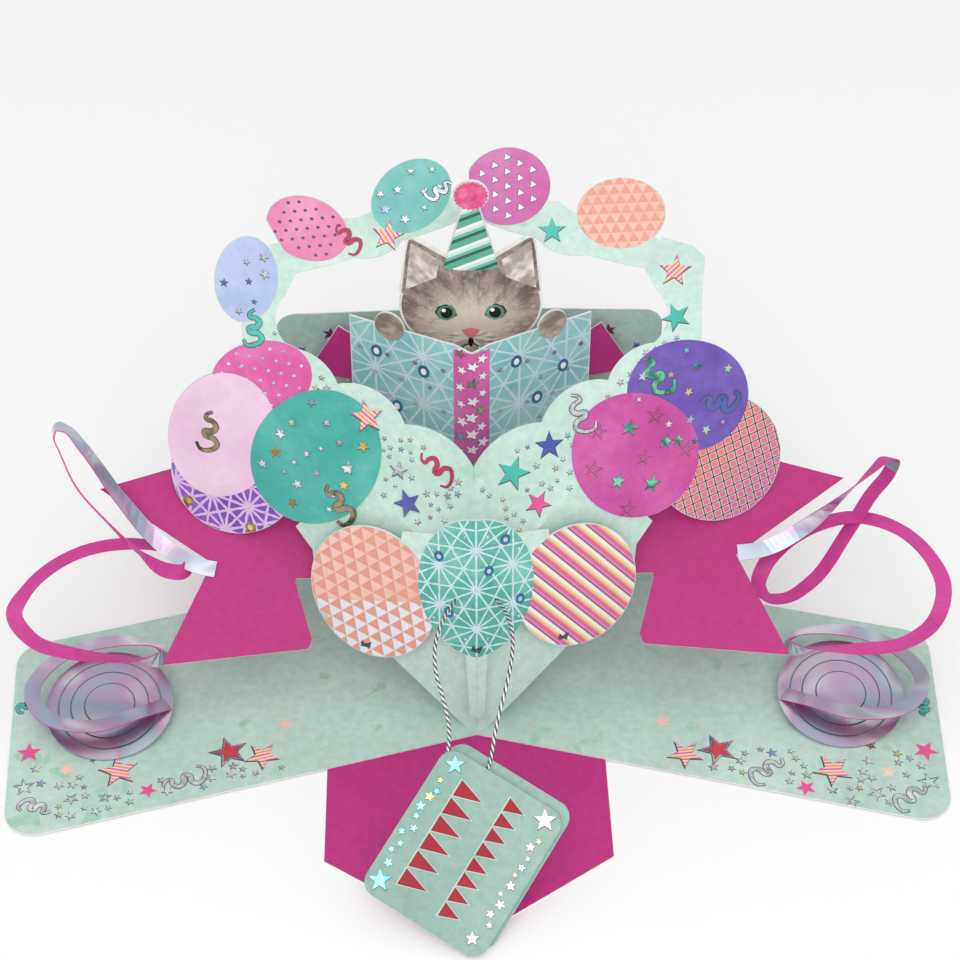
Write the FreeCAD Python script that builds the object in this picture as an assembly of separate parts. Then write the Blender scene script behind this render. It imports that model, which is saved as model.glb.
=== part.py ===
# Stand-up pop up card: swept base, wreath of balloons, gift box with a kitten, ribbon tails,
# two spiral streamers and a gift tag on a cord. Millimetres, +Z up, the viewer at -Y.
# Origin: underside of the card, below the near end of the base's centre fold.
import FreeCAD
import Part
import math
import os

Vec = FreeCAD.Vector
X, Y, Z = Vec(1, 0, 0), Vec(0, 1, 0), Vec(0, 0, 1)
REACH = 400.0                 # larger than the card, for clipping

# Card stock
card = 0.5                    # thickness of every printed sheet
foil_card = 0.4               # thickness of the streamers

# Base sheet, two leaves swept back from the centre fold
leaf_reach = 153.0            # half width at the outer edge
leaf_depth = 84.0             # front to back
leaf_sweep = 15.5             # angle of the front edge behind the X axis, degrees
leaf_lean = 3.0               # how much further out the rear corner lies
leaf_corner = 10.0

# Under sheet with its pointed front flap
flap_half_width = 44.3
flap_shoulder = 50.0          # how far the straight sides come forward
flap_tip = 80.0
flap_shift = -3.6             # the under sheet is glued a little to the left

# Rear tongue of both sheets, under the box and the back wall
tongue_half_width = 66.0
tongue_back = 118.0
tongue_corner = 8.0

# Wreath: every fold runs through one hub point on the centre plane
kite_height = 51.4            # from the foot up to the hub
kite_slope = 75.0             # centre fold of the kite above the floor, degrees
notch_slope = 31.7            # centre fold of the wreath's trough, degrees
crown_slope = 41.0            # centre fold of the hoop's crown, degrees
wing_turn = 45.0              # how far the wing folds turn out from the centre plane
hoop_fold = 18.2              # angle of the hoop's fold inside the trough panel, degrees
wing_drop = 41.0              # width of the strip below the wing fold
foot_inset = 2.0              # foot of the kite behind the base's front corner

# Wreath outline on the flat sheet: t along the wing fold, s across it
strip_edge = [(36.0, -wing_drop), (45.0, -32.0), (54.0, -30.0), (54.0, 8.0)]
arm_foot = (45.0, -20.0)      # lower end of the arm's outline, behind the balloons
trough_reach = 75.0           # how far out the trough panel passes the line of the hoop's fold
arm_outer = [(104.0, 4.0), (111.3, 11.4), (119.1, 18.9), (124.9, 24.0), (125.0, 29.5), (120.5, 39.3)]
arm_inner = [(26.7, 30.4), (39.5, 31.3), (51.9, 24.4), (61.5, 26.6), (76.0, 18.2), (85.5, 20.0), (94.5, 15.8),
             (102.0, 17.8), (107.0, 28.0), (109.5, 36.2)]

# Balloons as (t, s, half height, half width, turn) on the flat sheet
balloons_left = [(93.8, 0.6, 17.7, 12.8, 114.0), (90.7, -24.0, 23.4, 18.0, 77.0),
                 (64.9, -6.1, 25.0, 20.3, 86.0), (80.2, -30.6, 24.4, 21.0, 91.0), (119.1, 22.5, 14.6, 10.2, 57.0)]
balloons_right = [(89.9, -6.3, 21.8, 18.3, 105.0), (65.1, -7.9, 23.4, 20.1, 94.0), (82.9, -31.0, 24.4, 21.0, 93.0)]

# Hoop crown: t along the hoop fold, s across it towards the centre fold
crown_inner = [(115.5, 0.0), (112.8, 9.7), (110.9, 18.7), (107.4, 26.3), (108.4, 35.0), (106.6, 44.0), (105.0, 57.5)]
crown_outer = [(111.8, 61.2), (117.0, 45.0), (122.5, 34.5), (121.5, 27.5), (124.5, 21.0), (125.6, 10.0), (125.6, 0.0)]
crown_left = [(126.2, 10.2, 13.6, 10.2, 143.0), (119.7, 44.4, 14.2, 11.0, 79.0)]
crown_right = [(127.8, 15.0, 14.2, 11.6, 120.0), (119.2, 51.3, 13.9, 12.9, 124.0)]

# Balloon trio, a folded piece parallel to the kite
trio_gap = 4.5                # between the kite and the trio
trio_mid = (55.9, 0.0, 24.5, 19.4, 0.0)          # along, across, half height, half width, turn
trio_left = (48.9, 34.5, 23.6, 21.0, 8.0)
trio_right = (50.4, 34.0, 22.0, 20.5, -14.0)
trio_stem = 2.4               # half width of the stem at its foot
trio_foot = 9.0               # along the fold from the kite's foot
trio_knot = 3.6               # half width of the stem under the middle balloon
trio_bridge = [(36.0, 0.0), (46.0, 30.0), (72.5, 24.0), (74.0, 0.0)]       # card between the balloons
tab_play = 0.025              # between the trio's tab and the kite
cord_hole = (51.5, 6.5)       # along, across
cord_hole_radius = 1.1

# Gift box front, folded with its fold towards the viewer
box_fold_y = 75.0
box_half_width = 43.5
box_sweep = 26.0              # walls run back from the fold, degrees
box_height = 98.5
box_rim_dip = 1.5
box_dip_half = 6.0            # half width of the dip
box_tab = 8.0
box_tab_corner = 6.0
paw_across = 29.0
paw_size = (5.6, 5.4)

# Kitten card
kitten_y = 89.0
kitten_neck = 18.0            # half width of the hidden body
head_centre = 107.0           # height of the head's centre
head_half = (23.0, 19.5)      # half width, half height
ear_tip = (19.8, 135.8)       # across, height
ear_outer = (23.0, 112.0)
ear_inner = (7.5, 126.5)
hat_base = (9.2, 121.5)
hat_tip = (2.6, 145.5)
pom_radius = 5.6
pom_sink = 2.1                # how far the pom-pom reaches down over the hat

# Back wall and the rear sheet with its two pointed tails
wall_y = 112.0
wall_inset = 1.5              # its ends against the tongue's
wall_height = 88.5
wall_dip = 1.5                # how much lower it is at its fold
wall_sweep = 4.0              # wall runs forward from its fold, degrees
wall_corner = 6.0
rear_y = 103.0
rear_outline = [(0.0, 70.0), (30.0, 76.0), (43.5, 87.0), (52.0, 72.5), (47.5, 66.0), (38.0, 64.0), (32.0, 30.0),
                (32.0, 0.0), (0.0, 0.0)]

# Ribbon tails: one sheet that passes behind the kite and locks the wings in two slots
tail_slope = 32.6             # rise to the back, degrees
tail_height = 19.1            # where its plane, carried on to the front, meets y = 0
tail_root = (58.0, 74.0)      # rear edge beside the box
tail_tip_rear = (121.0, 58.8)
tail_notch = (84.5, 37.6)
tail_tip_front = (100.0, 9.7)
tail_corner = (53.5, 13.5)
tail_slot_x = 51.5
tail_band = 22.0              # depth of the band behind the kite
slot_room = 0.6               # half width of the slot
slot_length = 6.0
slot_lip = (0.8, 3.0)         # corner of the tail in front of the slot, against the slot and the tail's corner

# Streamers: where they lie on the ribbon tails, then (point, facing) along the middle of the spring
streamer_width = 5.2
span_steps = 3                # straight pieces between one point and the next
disc_centre = (118.8, 11.5)
disc_radius = 20.5
disc_tilt = 10.0              # front edge on the base, degrees
disc_hold = 1.8               # how far the spring reaches onto the disc
disc_slits = [(8.0, 20, 200), (12.5, 60, 300), (16.5, 110, 400)]     # radius, start, end in degrees
slit_width = 0.3
grip_gap = 0.1                # between the streamer and the ribbon tail it lies on
grip_right = [(85.0, 38.1), (89.5, 38.4), (94.0, 39.2)]
grip_left = [(-83.2, 35.7), (-86.8, 36.3), (-90.4, 37.3)]
spring_right = [
    ((104.0, 42.0, 48.4), (0.0, 0.8, -0.6)), ((120.2, 50.0, 57.5), (-0.6, 0.8, 0.4)),
    ((129.2, 55.5, 63.0), (-0.6, 0.3, 0.7)), ((133.8, 59.0, 64.6), (-0.1, 0.4, 0.9)),
    ((136.6, 60.6, 63.0), (0.5, 0.7, 0.5)), ((136.2, 60.0, 59.2), (0.7, 0.4, -0.5)),
    ((129.6, 54.5, 52.8), (0.5, 0.2, -0.9)), ((121.7, 46.0, 44.6), (0.6, 0.2, -0.8)),
    ((108.8, 34.0, 33.1), (0.4, 0.1, -0.9)), ((100.6, 30.4, 30.2), (0.2, -0.1, -1.0)),
    ((94.8, 30.8, 30.4), (-0.4, -0.1, -0.9)), ((92.4, 34.4, 32.4), (-0.4, 0.4, -0.8)),
    ((94.4, 39.0, 36.2), (0.1, 0.7, -0.8)), ((100.5, 43.6, 41.2), (0.4, 0.3, -0.9)),
    ((109.1, 47.0, 45.2), (0.3, 0.1, -0.9)), ((124.8, 49.5, 47.8), (0.0, 0.1, -1.0)),
    ((139.2, 45.5, 45.2), (-0.3, 0.2, -0.9)), ((148.4, 38.0, 39.6), (-0.3, 0.4, -0.9)),
    ((151.6, 30.0, 35.0), (0.0, 0.6, -0.8)), ((147.9, 20.6, 28.4), (0.3, 0.3, -0.9)),
    ((138.6, 14.8, 25.2), (0.1, 0.0, -1.0)), ((123.8, 12.6, 24.6), (0.0, 0.0, -1.0)),
    ((110.0, 14.8, 22.8), (0.0, -0.6, -0.8)), ((102.0, 21.0, 17.0), (-1.0, -0.2, 0.1)),
    ((106.0, 30.0, 13.5), (-0.2, 0.5, 0.8)), ((122.0, 33.0, 12.2), (0.0, 0.0, 1.0)),
    ((138.0, 26.0, 11.0), (0.1, -0.1, 1.0)), ((145.0, 12.0, 10.0), (0.0, -0.1, 1.0)),
    ((139.0, 2.0, 9.4), (0.0, 0.0, 1.0)), ((122.0, -1.0, 9.0), (0.0, 0.0, 1.0)),
    ((107.0, 6.0, 8.0), (-0.1, 0.1, 1.0))]
spring_left = [
    ((-99.2, 42.0, 46.0), (-0.1, 0.6, -0.8)), ((-113.4, 50.0, 61.2), (-0.7, 0.3, -0.6)),
    ((-124.3, 57.5, 76.4), (-0.8, 0.1, -0.6)), ((-129.2, 60.3, 81.4), (-0.5, -0.2, -0.8)),
    ((-132.2, 60.7, 82.0), (0.6, -0.1, -0.8)), ((-133.2, 59.0, 79.0), (1.0, 0.2, -0.1)),
    ((-131.6, 56.6, 75.0), (0.9, 0.4, 0.2)), ((-126.8, 50.0, 66.1), (0.8, 0.5, 0.3)),
    ((-117.6, 44.0, 56.4), (0.7, 0.6, 0.4)), ((-107.0, 37.6, 48.2), (0.6, 0.7, 0.3)),
    ((-98.6, 34.4, 43.2), (0.0, 0.9, -0.4)), ((-93.4, 35.4, 41.8), (-0.7, 0.6, -0.3)),
    ((-92.2, 38.8, 41.6), (-0.9, -0.2, -0.3)), ((-95.6, 42.2, 43.2), (-0.5, -0.5, -0.7)),
    ((-102.0, 43.8, 45.0), (-0.2, -0.2, -1.0)), ((-111.0, 44.2, 46.0), (0.0, 0.0, -1.0)),
    ((-130.1, 42.0, 43.0), (0.3, 0.1, -0.9)), ((-145.0, 35.0, 34.2), (0.4, 0.3, -0.9)),
    ((-148.4, 28.4, 31.0), (-0.1, 0.6, -0.8)), ((-142.4, 21.2, 26.0), (-0.3, 0.2, -0.9)),
    ((-129.4, 16.8, 24.0), (0.0, 0.0, -1.0)), ((-113.3, 15.6, 22.4), (-0.1, -0.4, -0.9)),
    ((-101.4, 20.0, 17.6), (0.9, -0.3, 0.2)), ((-104.0, 29.0, 14.0), (0.3, 0.5, 0.8)),
    ((-120.0, 33.0, 12.4), (0.0, 0.0, 1.0)), ((-136.5, 27.0, 11.0), (-0.1, 0.0, 1.0)),
    ((-143.5, 13.0, 10.2), (0.0, -0.1, 1.0)), ((-138.0, 3.0, 9.4), (0.1, 0.0, 1.0)),
    ((-122.0, -1.0, 9.0), (0.0, 0.0, 1.0)), ((-107.0, 6.0, 8.0), (0.1, 0.1, 1.0))]

# Tag: two leaves with rounded corners leaning over the front flap
tag_lean = 30.0               # its plane above the floor, degrees
tag_foot = (-1.6, -88.5)       # where its lowest corner stands
tag_height = 0.55             # middle of the front leaf above the table at that corner
tag_turn = 57.0               # its long edge against the floor, inside its plane, degrees
tag_size = (50.0, 42.0)       # along, across
tag_corner = 5.0
tag_leaf_gap = 1.3            # the cord lies between the leaves
tag_back_shift = (3.5, -1.0)  # the rear leaf lies askew

# Cord of the tag, from one hole of the trio through the tag to the other
cord_diameter = 1.2
cord_route = [(-5.2, 14.9, 49.6), (-7.2, 9.8, 50.9), (-10.3, 3.6, 50.9), (-13.2, -4.2, 48.7),
              (-13.4, -13.0, 45.4), (-11.0, -20.2, 41.2), (-9.2, -26.0, 36.6), (-9.1, -31.5, 32.4),
              (-10.7, -37.0, 29.3), (-10.3, -41.9, 26.4), (-6.6, -45.0, 24.6), (-1.9, -44.2, 25.1),
              (1.7, -40.0, 27.5), (3.6, -34.7, 30.7), (4.9, -28.4, 36.2), (7.9, -20.2, 42.8),
              (10.4, -10.8, 47.0), (10.9, -2.8, 49.7), (9.7, 4.0, 51.1), (7.2, 9.8, 50.9), (5.2, 14.9, 49.6)]


# Flat outlines

def polygon(points):
    corners = [Vec(p[0], p[1], 0) for p in points]
    return Part.Face(Part.makePolygon(corners + corners[:1]))


def arc_chain(points):
    """Edges through points taken two steps at a time, each step a round arc."""
    edges = []
    for i in range(0, len(points) - 2, 2):
        a, b, c = (Vec(p[0], p[1], 0) for p in points[i:i + 3])
        edges.append(Part.Arc(a, b, c).toShape())
    return edges


def oval(t, s, long_half, short_half, turn):
    """Balloon outline; turn is the long axis against the first axis, in degrees."""
    ring = Part.Ellipse(Vec(t, s, 0), long_half, short_half).toShape()
    ring.rotate(Vec(t, s, 0), Z, turn)
    return Part.Face(Part.Wire([ring]))


def disc(t, s, radius):
    return Part.Face(Part.Wire([Part.Circle(Vec(t, s, 0), Z, radius).toShape()]))


def rounded_polygon(points, radii):
    """Polygon whose corners are rounded by the radius given for each."""
    edges, count = [], len(points)
    ends = []
    for i, radius in enumerate(radii):
        corner = Vec(points[i][0], points[i][1], 0)
        before = Vec(points[i - 1][0], points[i - 1][1], 0) - corner
        after = Vec(points[(i + 1) % count][0], points[(i + 1) % count][1], 0) - corner
        before.normalize()
        after.normalize()
        half = before.getAngle(after) / 2
        if radius <= 0:
            ends.append((corner, None, corner))
            continue
        middle = before + after
        middle.normalize()
        setback = radius / math.tan(half)
        crest = corner + middle * (radius / math.sin(half) - radius)
        ends.append((corner + before * setback, crest, corner + after * setback))
    for i, (start, crest, end) in enumerate(ends):
        if crest is not None:
            edges.append(Part.Arc(start, crest, end).toShape())
        edges.append(Part.LineSegment(end, ends[(i + 1) % count][0]).toShape())
    return Part.Face(Part.Wire(edges))


def joined(faces):
    """One outline from overlapping ones."""
    return faces[0].multiFuse(faces[1:]).removeSplitter() if len(faces) > 1 else faces[0]


def sector(start, end):
    """Wedge about the hub between two directions, in degrees."""
    steps = [start, (start + end) / 2, end]
    rim = [(REACH * math.cos(math.radians(a)), REACH * math.sin(math.radians(a))) for a in steps]
    return polygon([(0, 0)] + rim)


# Sheets in space

class Panel:
    """Flat part of a sheet: a point, the first axis and the side that the outline spreads to."""

    def __init__(self, origin, first, second):
        self.origin = origin
        self.u = Vec(first)
        self.u.normalize()
        self.n = self.u.cross(second)
        self.n.normalize()
        self.v = self.n.cross(self.u)

    def at(self, t, s, lift=0.0):
        return self.origin + self.u * t + self.v * s + self.n * lift

    def sheet(self, outline, thickness=card):
        """Solid whose middle layer is the outline."""
        place = FreeCAD.Placement(self.origin, FreeCAD.Rotation(self.u, self.v, self.n, "XYZ"))
        flat = outline.copy()
        flat.Placement = place.multiply(flat.Placement)
        flat.translate(self.n * (-thickness / 2))
        return fused(flat.extrude(self.n * thickness).Solids)


def mirrored(shape):
    return shape.mirror(Vec(0, 0, 0), X)


def fused(shapes):
    return shapes[0].multiFuse(shapes[1:]).removeSplitter() if len(shapes) > 1 else shapes[0]


def direction(slope, turn=0.0):
    """Unit vector that rises at a slope and turns out from the centre plane towards +X."""
    rise, out = math.radians(slope), math.radians(turn)
    return Vec(math.sin(out), math.cos(out) * math.cos(rise), math.cos(out) * math.sin(rise))


parts = {}

# Base and under sheet
sweep = math.tan(math.radians(leaf_sweep))
front_corner = (leaf_reach - leaf_lean * 2, -sweep * (leaf_reach - leaf_lean * 2))
rear_corner = (leaf_reach, leaf_depth - sweep * leaf_reach)
leaf = rounded_polygon([(0, 0), front_corner, rear_corner, (0, leaf_depth)], [0, leaf_corner, leaf_corner, 0])
leaf_solid = leaf.extrude(Z * card)
tongue = rounded_polygon([(-tongue_half_width, 0), (tongue_half_width, 0), (tongue_half_width, tongue_back),
                          (-tongue_half_width, tongue_back)], [0, 0, tongue_corner, tongue_corner])
sweep_cut = polygon([(0, 0), (REACH, -sweep * REACH), (0, -REACH), (-REACH, -sweep * REACH)]).extrude(Z * card)
base = fused([leaf_solid, mirrored(leaf_solid), tongue.extrude(Z * card)]).cut(sweep_cut)
base.translate(Z * card)
parts["base_sheet"] = base
flap = polygon([(-flap_half_width, -flap_shoulder), (0, -flap_tip), (flap_half_width, -flap_shoulder),
                (flap_half_width, leaf_depth / 2), (-flap_half_width, leaf_depth / 2)])
flap.translate(X * flap_shift)
parts["under_sheet"] = fused([flap.extrude(Z * card), tongue.extrude(Z * card).cut(sweep_cut)])

# Wreath
foot = Vec(0, foot_inset, 2 * card)
kite_fold = direction(kite_slope)
notch_fold = direction(notch_slope)
crown_fold = direction(crown_slope)
hub = foot + kite_fold * kite_height
wing_fold = direction((kite_slope + notch_slope) / 2, wing_turn)
trough = Panel(hub, wing_fold, notch_fold - wing_fold * notch_fold.dot(wing_fold))
wing = Panel(hub, wing_fold, kite_fold - wing_fold * kite_fold.dot(wing_fold))
notch_angle = math.degrees(notch_fold.getAngle(wing_fold))
foot_angle = -math.degrees((kite_fold * -1).getAngle(wing_fold))
hoop = math.radians(hoop_fold)
hoop_line = trough.at(math.cos(hoop), math.sin(hoop)) - hub
crown = Panel(hub, hoop_line, crown_fold - hoop_line * crown_fold.dot(hoop_line))
crown_angle = math.degrees(crown_fold.getAngle(hoop_line))


def wreath_half(wing_balloons, crown_balloons):
    """Wing, trough and crown panels on the +X side."""
    strip = polygon([(-REACH, strip_edge[0][1])] + strip_edge + [(-REACH, strip_edge[-1][1])])
    ovals = [oval(*b) for b in wing_balloons]
    arm_edges = arc_chain(arm_inner[:7]) + arc_chain(arm_inner[6:9])
    last = arm_inner[8:] + arm_outer[::-1] + [arm_foot, (0, arm_foot[1]), (0, 0), arm_inner[0]]
    arm = Part.Face(Part.Wire(arm_edges + Part.makePolygon([Vec(t, s, 0) for t, s in last]).Edges))
    flat = joined([strip, arm] + ovals)
    below = flat.common(sector(foot_angle, 0))
    trough_wedge = polygon([(0, 0), (trough_reach, trough_reach * math.tan(hoop)),
                            (trough_reach, trough_reach * math.tan(math.radians(notch_angle)))])
    trough_part = flat.common(joined([sector(0, hoop_fold), trough_wedge]))
    crown_edges = [Part.makePolygon([Vec(t, s, 0) for t, s in ends]).Edges[0]
                   for ends in ((crown_inner[-1], crown_outer[0]), (crown_outer[-1], crown_inner[0]))]
    band = Part.Face(Part.Wire(arc_chain(crown_inner) + crown_edges[:1] + arc_chain(crown_outer) + crown_edges[1:]))
    crown_flat = joined([band] + [oval(*b) for b in crown_balloons])
    above = crown_flat.common(sector(0, crown_angle))
    return fused([wing.sheet(below), trough.sheet(trough_part), crown.sheet(above)])


wreath = fused([wreath_half(balloons_right, crown_right), mirrored(wreath_half(balloons_left, crown_left))])
below_base = Part.makeBox(REACH, REACH, REACH, Vec(-REACH / 2, -REACH / 2, 2 * card - REACH))
parts["wreath_sheet"] = wreath.cut(below_base)


# Balloon trio in front of the kite
kite_out = wing_fold - kite_fold * wing_fold.dot(kite_fold)
kite_out.normalize()
facing = kite_fold.cross(kite_out)                   # the wing panel's normal, towards the viewer
if facing.y > 0:
    facing = facing * -1
trio_origin = foot - Y * (trio_gap / -facing.y)
trio = Panel(trio_origin, kite_fold, kite_out)


def trio_half(side_balloon):
    """Half of the trio on the +X side, with its cord hole and the tab that holds it to the kite."""
    knot = trio_mid[0] - trio_mid[2]
    stem = polygon([(trio_foot, -trio_stem), (knot, -trio_knot), (knot + trio_knot, -2 * trio_knot),
                    (knot + trio_knot, 2 * trio_knot), (knot, trio_knot), (trio_foot, trio_stem)])
    flat = joined([oval(*trio_mid), oval(*side_balloon), stem, polygon(trio_bridge)])
    half = flat.common(polygon([(-REACH, 0), (REACH, 0), (REACH, REACH), (-REACH, REACH)]))
    hole = Part.makeCylinder(cord_hole_radius, 4 * card, trio.at(*cord_hole, -2 * card), trio.n)
    return trio.sheet(half).cut(hole)


tab_depth = trio_gap / -facing.y - card - tab_play
tab_spread = trio_stem * kite_out.y / kite_out.x
tab_at = trio.at(trio_foot, 0)
tab = Panel(tab_at, X, Y).sheet(polygon([(0, 0), (trio_stem, tab_spread), (trio_stem, tab_spread + tab_depth),
                                         (0, tab_depth), (-trio_stem, tab_spread + tab_depth),
                                         (-trio_stem, tab_spread)]))
parts["balloon_trio"] = fused([trio_half(trio_right), mirrored(trio_half(trio_left)), tab])

# Gift box front with the paws on its rim
stand = 2 * card
across = Vec(math.cos(math.radians(box_sweep)), math.sin(math.radians(box_sweep)), 0)
box_wall = Panel(Vec(0, box_fold_y, stand), Z, across)
wall_shape = joined([polygon([(0, 0), (box_height - box_rim_dip, 0), (box_height, box_dip_half),
                              (box_height, box_half_width), (0, box_half_width)]),
                     oval(box_height, paw_across, paw_size[0], paw_size[1], 0)])
box_end = box_wall.at(0, box_half_width)
end_tab = Panel(box_end, Z, Y).sheet(polygon([(0, 0), (box_height, 0), (box_height - box_tab_corner, box_tab),
                                              (box_tab_corner, box_tab), (0, box_tab - box_tab_corner)]))
box_half = fused([box_wall.sheet(wall_shape), end_tab])
parts["gift_box_front"] = fused([box_half, mirrored(box_half)])

# Kitten card, upright behind the box front
kitten = Panel(Vec(0, kitten_y, 0), X, Z)
kitten_shapes = [polygon([(-kitten_neck, stand), (kitten_neck, stand), (kitten_neck, head_centre),
                          (-kitten_neck, head_centre)]),
                 oval(0, head_centre, head_half[0], head_half[1], 0),
                 polygon([(0, head_centre), (hat_base[0], hat_base[1]), (hat_tip[0], hat_tip[1]),
                          (-hat_tip[0], hat_tip[1]), (-hat_base[0], hat_base[1])]),
                 disc(0, hat_tip[1] + pom_radius - pom_sink, pom_radius)]
for side in (-1, 1):
    ear = [(side * x, z) for x, z in (ear_outer, ear_tip, ear_inner)] + [(0, head_centre)]
    kitten_shapes.append(rounded_polygon(ear, [2, 3, 2, 0]))
parts["kitten_card"] = kitten.sheet(joined(kitten_shapes))

# Rear sheet and back wall
rear = Panel(Vec(0, rear_y, stand), X, Z).sheet(polygon(rear_outline))
parts["rear_tails"] = fused([rear, mirrored(rear)])
wall_out = Vec(math.cos(math.radians(wall_sweep)), -math.sin(math.radians(wall_sweep)), 0)
wall_half_width = tongue_half_width - wall_inset
wall = Panel(Vec(0, wall_y, stand), wall_out, Z).sheet(
    rounded_polygon([(0, 0), (wall_half_width, 0), (wall_half_width, wall_height), (0, wall_height - wall_dip)],
                    [0, 0, wall_corner, 0]))
parts["back_wall"] = fused([wall, mirrored(wall)])

# Ribbon tails
rise = math.radians(tail_slope)
tails = Panel(Vec(0, 0, tail_height), X, Vec(0, math.cos(rise), math.sin(rise)))


def meets_wing(x):
    """Distance up the ribbon's plane at which it meets the back of the wing panel."""
    start = Vec(x, 0, tail_height)
    up = Vec(0, math.cos(rise), math.sin(rise))
    return (wing.origin - start).dot(wing.n) / up.dot(wing.n)


def on_tails(point):
    return (point[0], point[1] / math.cos(rise))


room = card + slot_room
front_in, front_slot = meets_wing(0) + room, meets_wing(tail_slot_x) + room
slot_end = tail_slot_x + slot_length
tail_outline = rounded_polygon(
    [(0, front_in), (tail_slot_x, front_slot), (slot_end, front_slot),
     (slot_end, front_slot - 2 * slot_room - card),
     (tail_slot_x + slot_lip[0], on_tails(tail_corner)[1] + slot_lip[1]),
     on_tails(tail_corner), on_tails(tail_tip_front), on_tails(tail_notch), on_tails(tail_tip_rear),
     on_tails(tail_root), (tail_slot_x, front_slot + tail_band), (0, front_in + tail_band)],
    [0, 0, 0.5, 0.5, 1.5, 1.5, 0, 0, 0, 0, 0, 0])
tail_half = tails.sheet(tail_outline)
parts["ribbon_tails"] = fused([tail_half, mirrored(tail_half)])


# Streamers

def square_to(facing, along):
    """Unit vector nearest the facing that stands square on the line."""
    side = facing.cross(along)
    square = along.cross(side)
    square.normalize()
    return square


def ribbon(points, facings, width, thickness):
    """Strip of card along a smooth line, its face turned evenly from one point's facing to the next."""
    marks = [0.0]
    for before, after in zip(points, points[1:]):
        marks.append(marks[-1] + (after - before).Length)
    line = Part.BSplineCurve()
    line.interpolate(points, Parameters=marks)
    normals = [square_to(f, Vec(*line.tangent(mark)[0])) for f, mark in zip(facings, marks)]
    sections = []
    for i in range(len(points) - 1):
        for step in range(span_steps + (i == len(points) - 2)):
            share = step / span_steps
            mark = marks[i] + share * (marks[i + 1] - marks[i])
            middle, along = line.value(mark), Vec(*line.tangent(mark)[0])
            normal = square_to(normals[i] * (1 - share) + normals[i + 1] * share, along)
            side = normal.cross(along)
            side.normalize()
            corners = [middle + side * (out * width / 2) + normal * (up * thickness / 2)
                       for out, up in ((1, 1), (1, -1), (-1, -1), (-1, 1))]
            sections.append(Part.makePolygon(corners + corners[:1]))
    return Part.makeLoft(sections, True, True)


def streamer(grip, spring, side):
    """Spring of ribbon that starts on the ribbon tails, and the flat coil at its end."""
    tilt = math.radians(disc_tilt)
    centre = Vec(side * disc_centre[0], disc_centre[1], stand + disc_radius * math.sin(tilt) + foil_card)
    plate = Panel(centre, X, Vec(0, math.cos(tilt), math.sin(tilt)))
    coil = plate.sheet(disc(0, 0, disc_radius), foil_card)
    for radius, start, end in disc_slits:
        rim = []
        for r, first, last in ((radius, start, end), (radius + slit_width, end, start)):
            angles = [math.radians(a) for a in (first, (first + last) / 2, last)]
            rim.append([Vec(side * r * math.cos(a), r * math.sin(a), 0) for a in angles])
        wire = Part.Wire([Part.Arc(*rim[0]).toShape(), Part.LineSegment(rim[0][2], rim[1][0]).toShape(),
                          Part.Arc(*rim[1]).toShape(), Part.LineSegment(rim[1][2], rim[0][0]).toShape()])
        coil = coil.cut(plate.sheet(Part.Face(wire), 4 * foil_card))
    on_top = (card + foil_card) / 2 + grip_gap
    start = [tails.at(x, on_tails((x, y))[1], on_top) for x, y in grip]
    middle = [Vec(*point) for point, _ in spring]
    end = plate.at(side * (disc_hold - disc_radius), 0, foil_card / 2)
    facings = [tails.n * -1] * len(grip) + [Vec(*facing) for _, facing in spring] + [plate.n]
    return ribbon(start + middle + [end], facings, streamer_width, foil_card).fuse(coil)


parts["streamer_right"] = streamer(grip_right, spring_right, 1)
parts["streamer_left"] = streamer(grip_left, spring_left, -1)

# Tag
lean = math.radians(tag_lean)
turn = math.radians(tag_turn)
tag_up = Vec(0, math.cos(lean), math.sin(lean))
tag_long = X * math.cos(turn) + tag_up * math.sin(turn)
tag_wide = X * -math.sin(turn) + tag_up * math.cos(turn)
tag_leaf = Panel(Vec(tag_foot[0], tag_foot[1], tag_height), tag_long, tag_wide)
leaf_shape = rounded_polygon([(0, 0), (tag_size[0], 0), (tag_size[0], tag_size[1]), (0, tag_size[1])],
                             [tag_corner] * 4)
parts["tag_front"] = tag_leaf.sheet(leaf_shape)
rear_leaf = tag_leaf.sheet(leaf_shape)
rear_leaf.translate(tag_leaf.n * -(tag_leaf_gap + card) + tag_long * tag_back_shift[0] + tag_wide * tag_back_shift[1])
parts["tag_back"] = rear_leaf


# Cord

def cord_tube(route, diameter):
    """Straight runs joined by tangent arcs; returns the tube, its length and the arc radii."""
    points = [Vec(*p) for p in route]
    edges, radii = [], []
    start = points[0]
    for before, corner, after in zip(points, points[1:], points[2:]):
        a, b = before - corner, after - corner
        shorter = min(a.Length, b.Length)
        a.normalize()
        b.normalize()
        half_turn = (math.pi - a.getAngle(b)) / 2
        setback = 0.45 * shorter
        radius = setback / math.tan(half_turn)
        middle = a + b
        middle.normalize()
        crest = corner + middle * (radius / math.cos(half_turn) - radius)
        entry, leave = corner + a * setback, corner + b * setback
        edges.append(Part.LineSegment(start, entry).toShape())
        edges.append(Part.Arc(entry, crest, leave).toShape())
        radii.append(radius)
        start = leave
    edges.append(Part.LineSegment(start, points[-1]).toShape())
    path = Part.Wire(edges)
    ring = Part.Circle(points[0], points[1] - points[0], diameter / 2).toShape()
    tube = path.makePipeShell([Part.Wire([ring])], True, False)
    return tube, path.Length, radii


parts["tag_cord"], cord_length, cord_radii = cord_tube(cord_route, cord_diameter)
print("cord length", round(cord_length, 1), "radii", [round(r, 1) for r in cord_radii])
print("cord volume", round(parts["tag_cord"].Volume, 2), "section times length",
      round(math.pi / 4 * cord_diameter ** 2 * cord_length, 2))

os.makedirs("parts", exist_ok=True)
for name, shape in parts.items():
    shape.exportStep("parts/" + name + ".step")
    print(name, "solids", len(shape.Solids), "valid", shape.isValid(), "volume", round(shape.Volume, 1))
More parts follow.
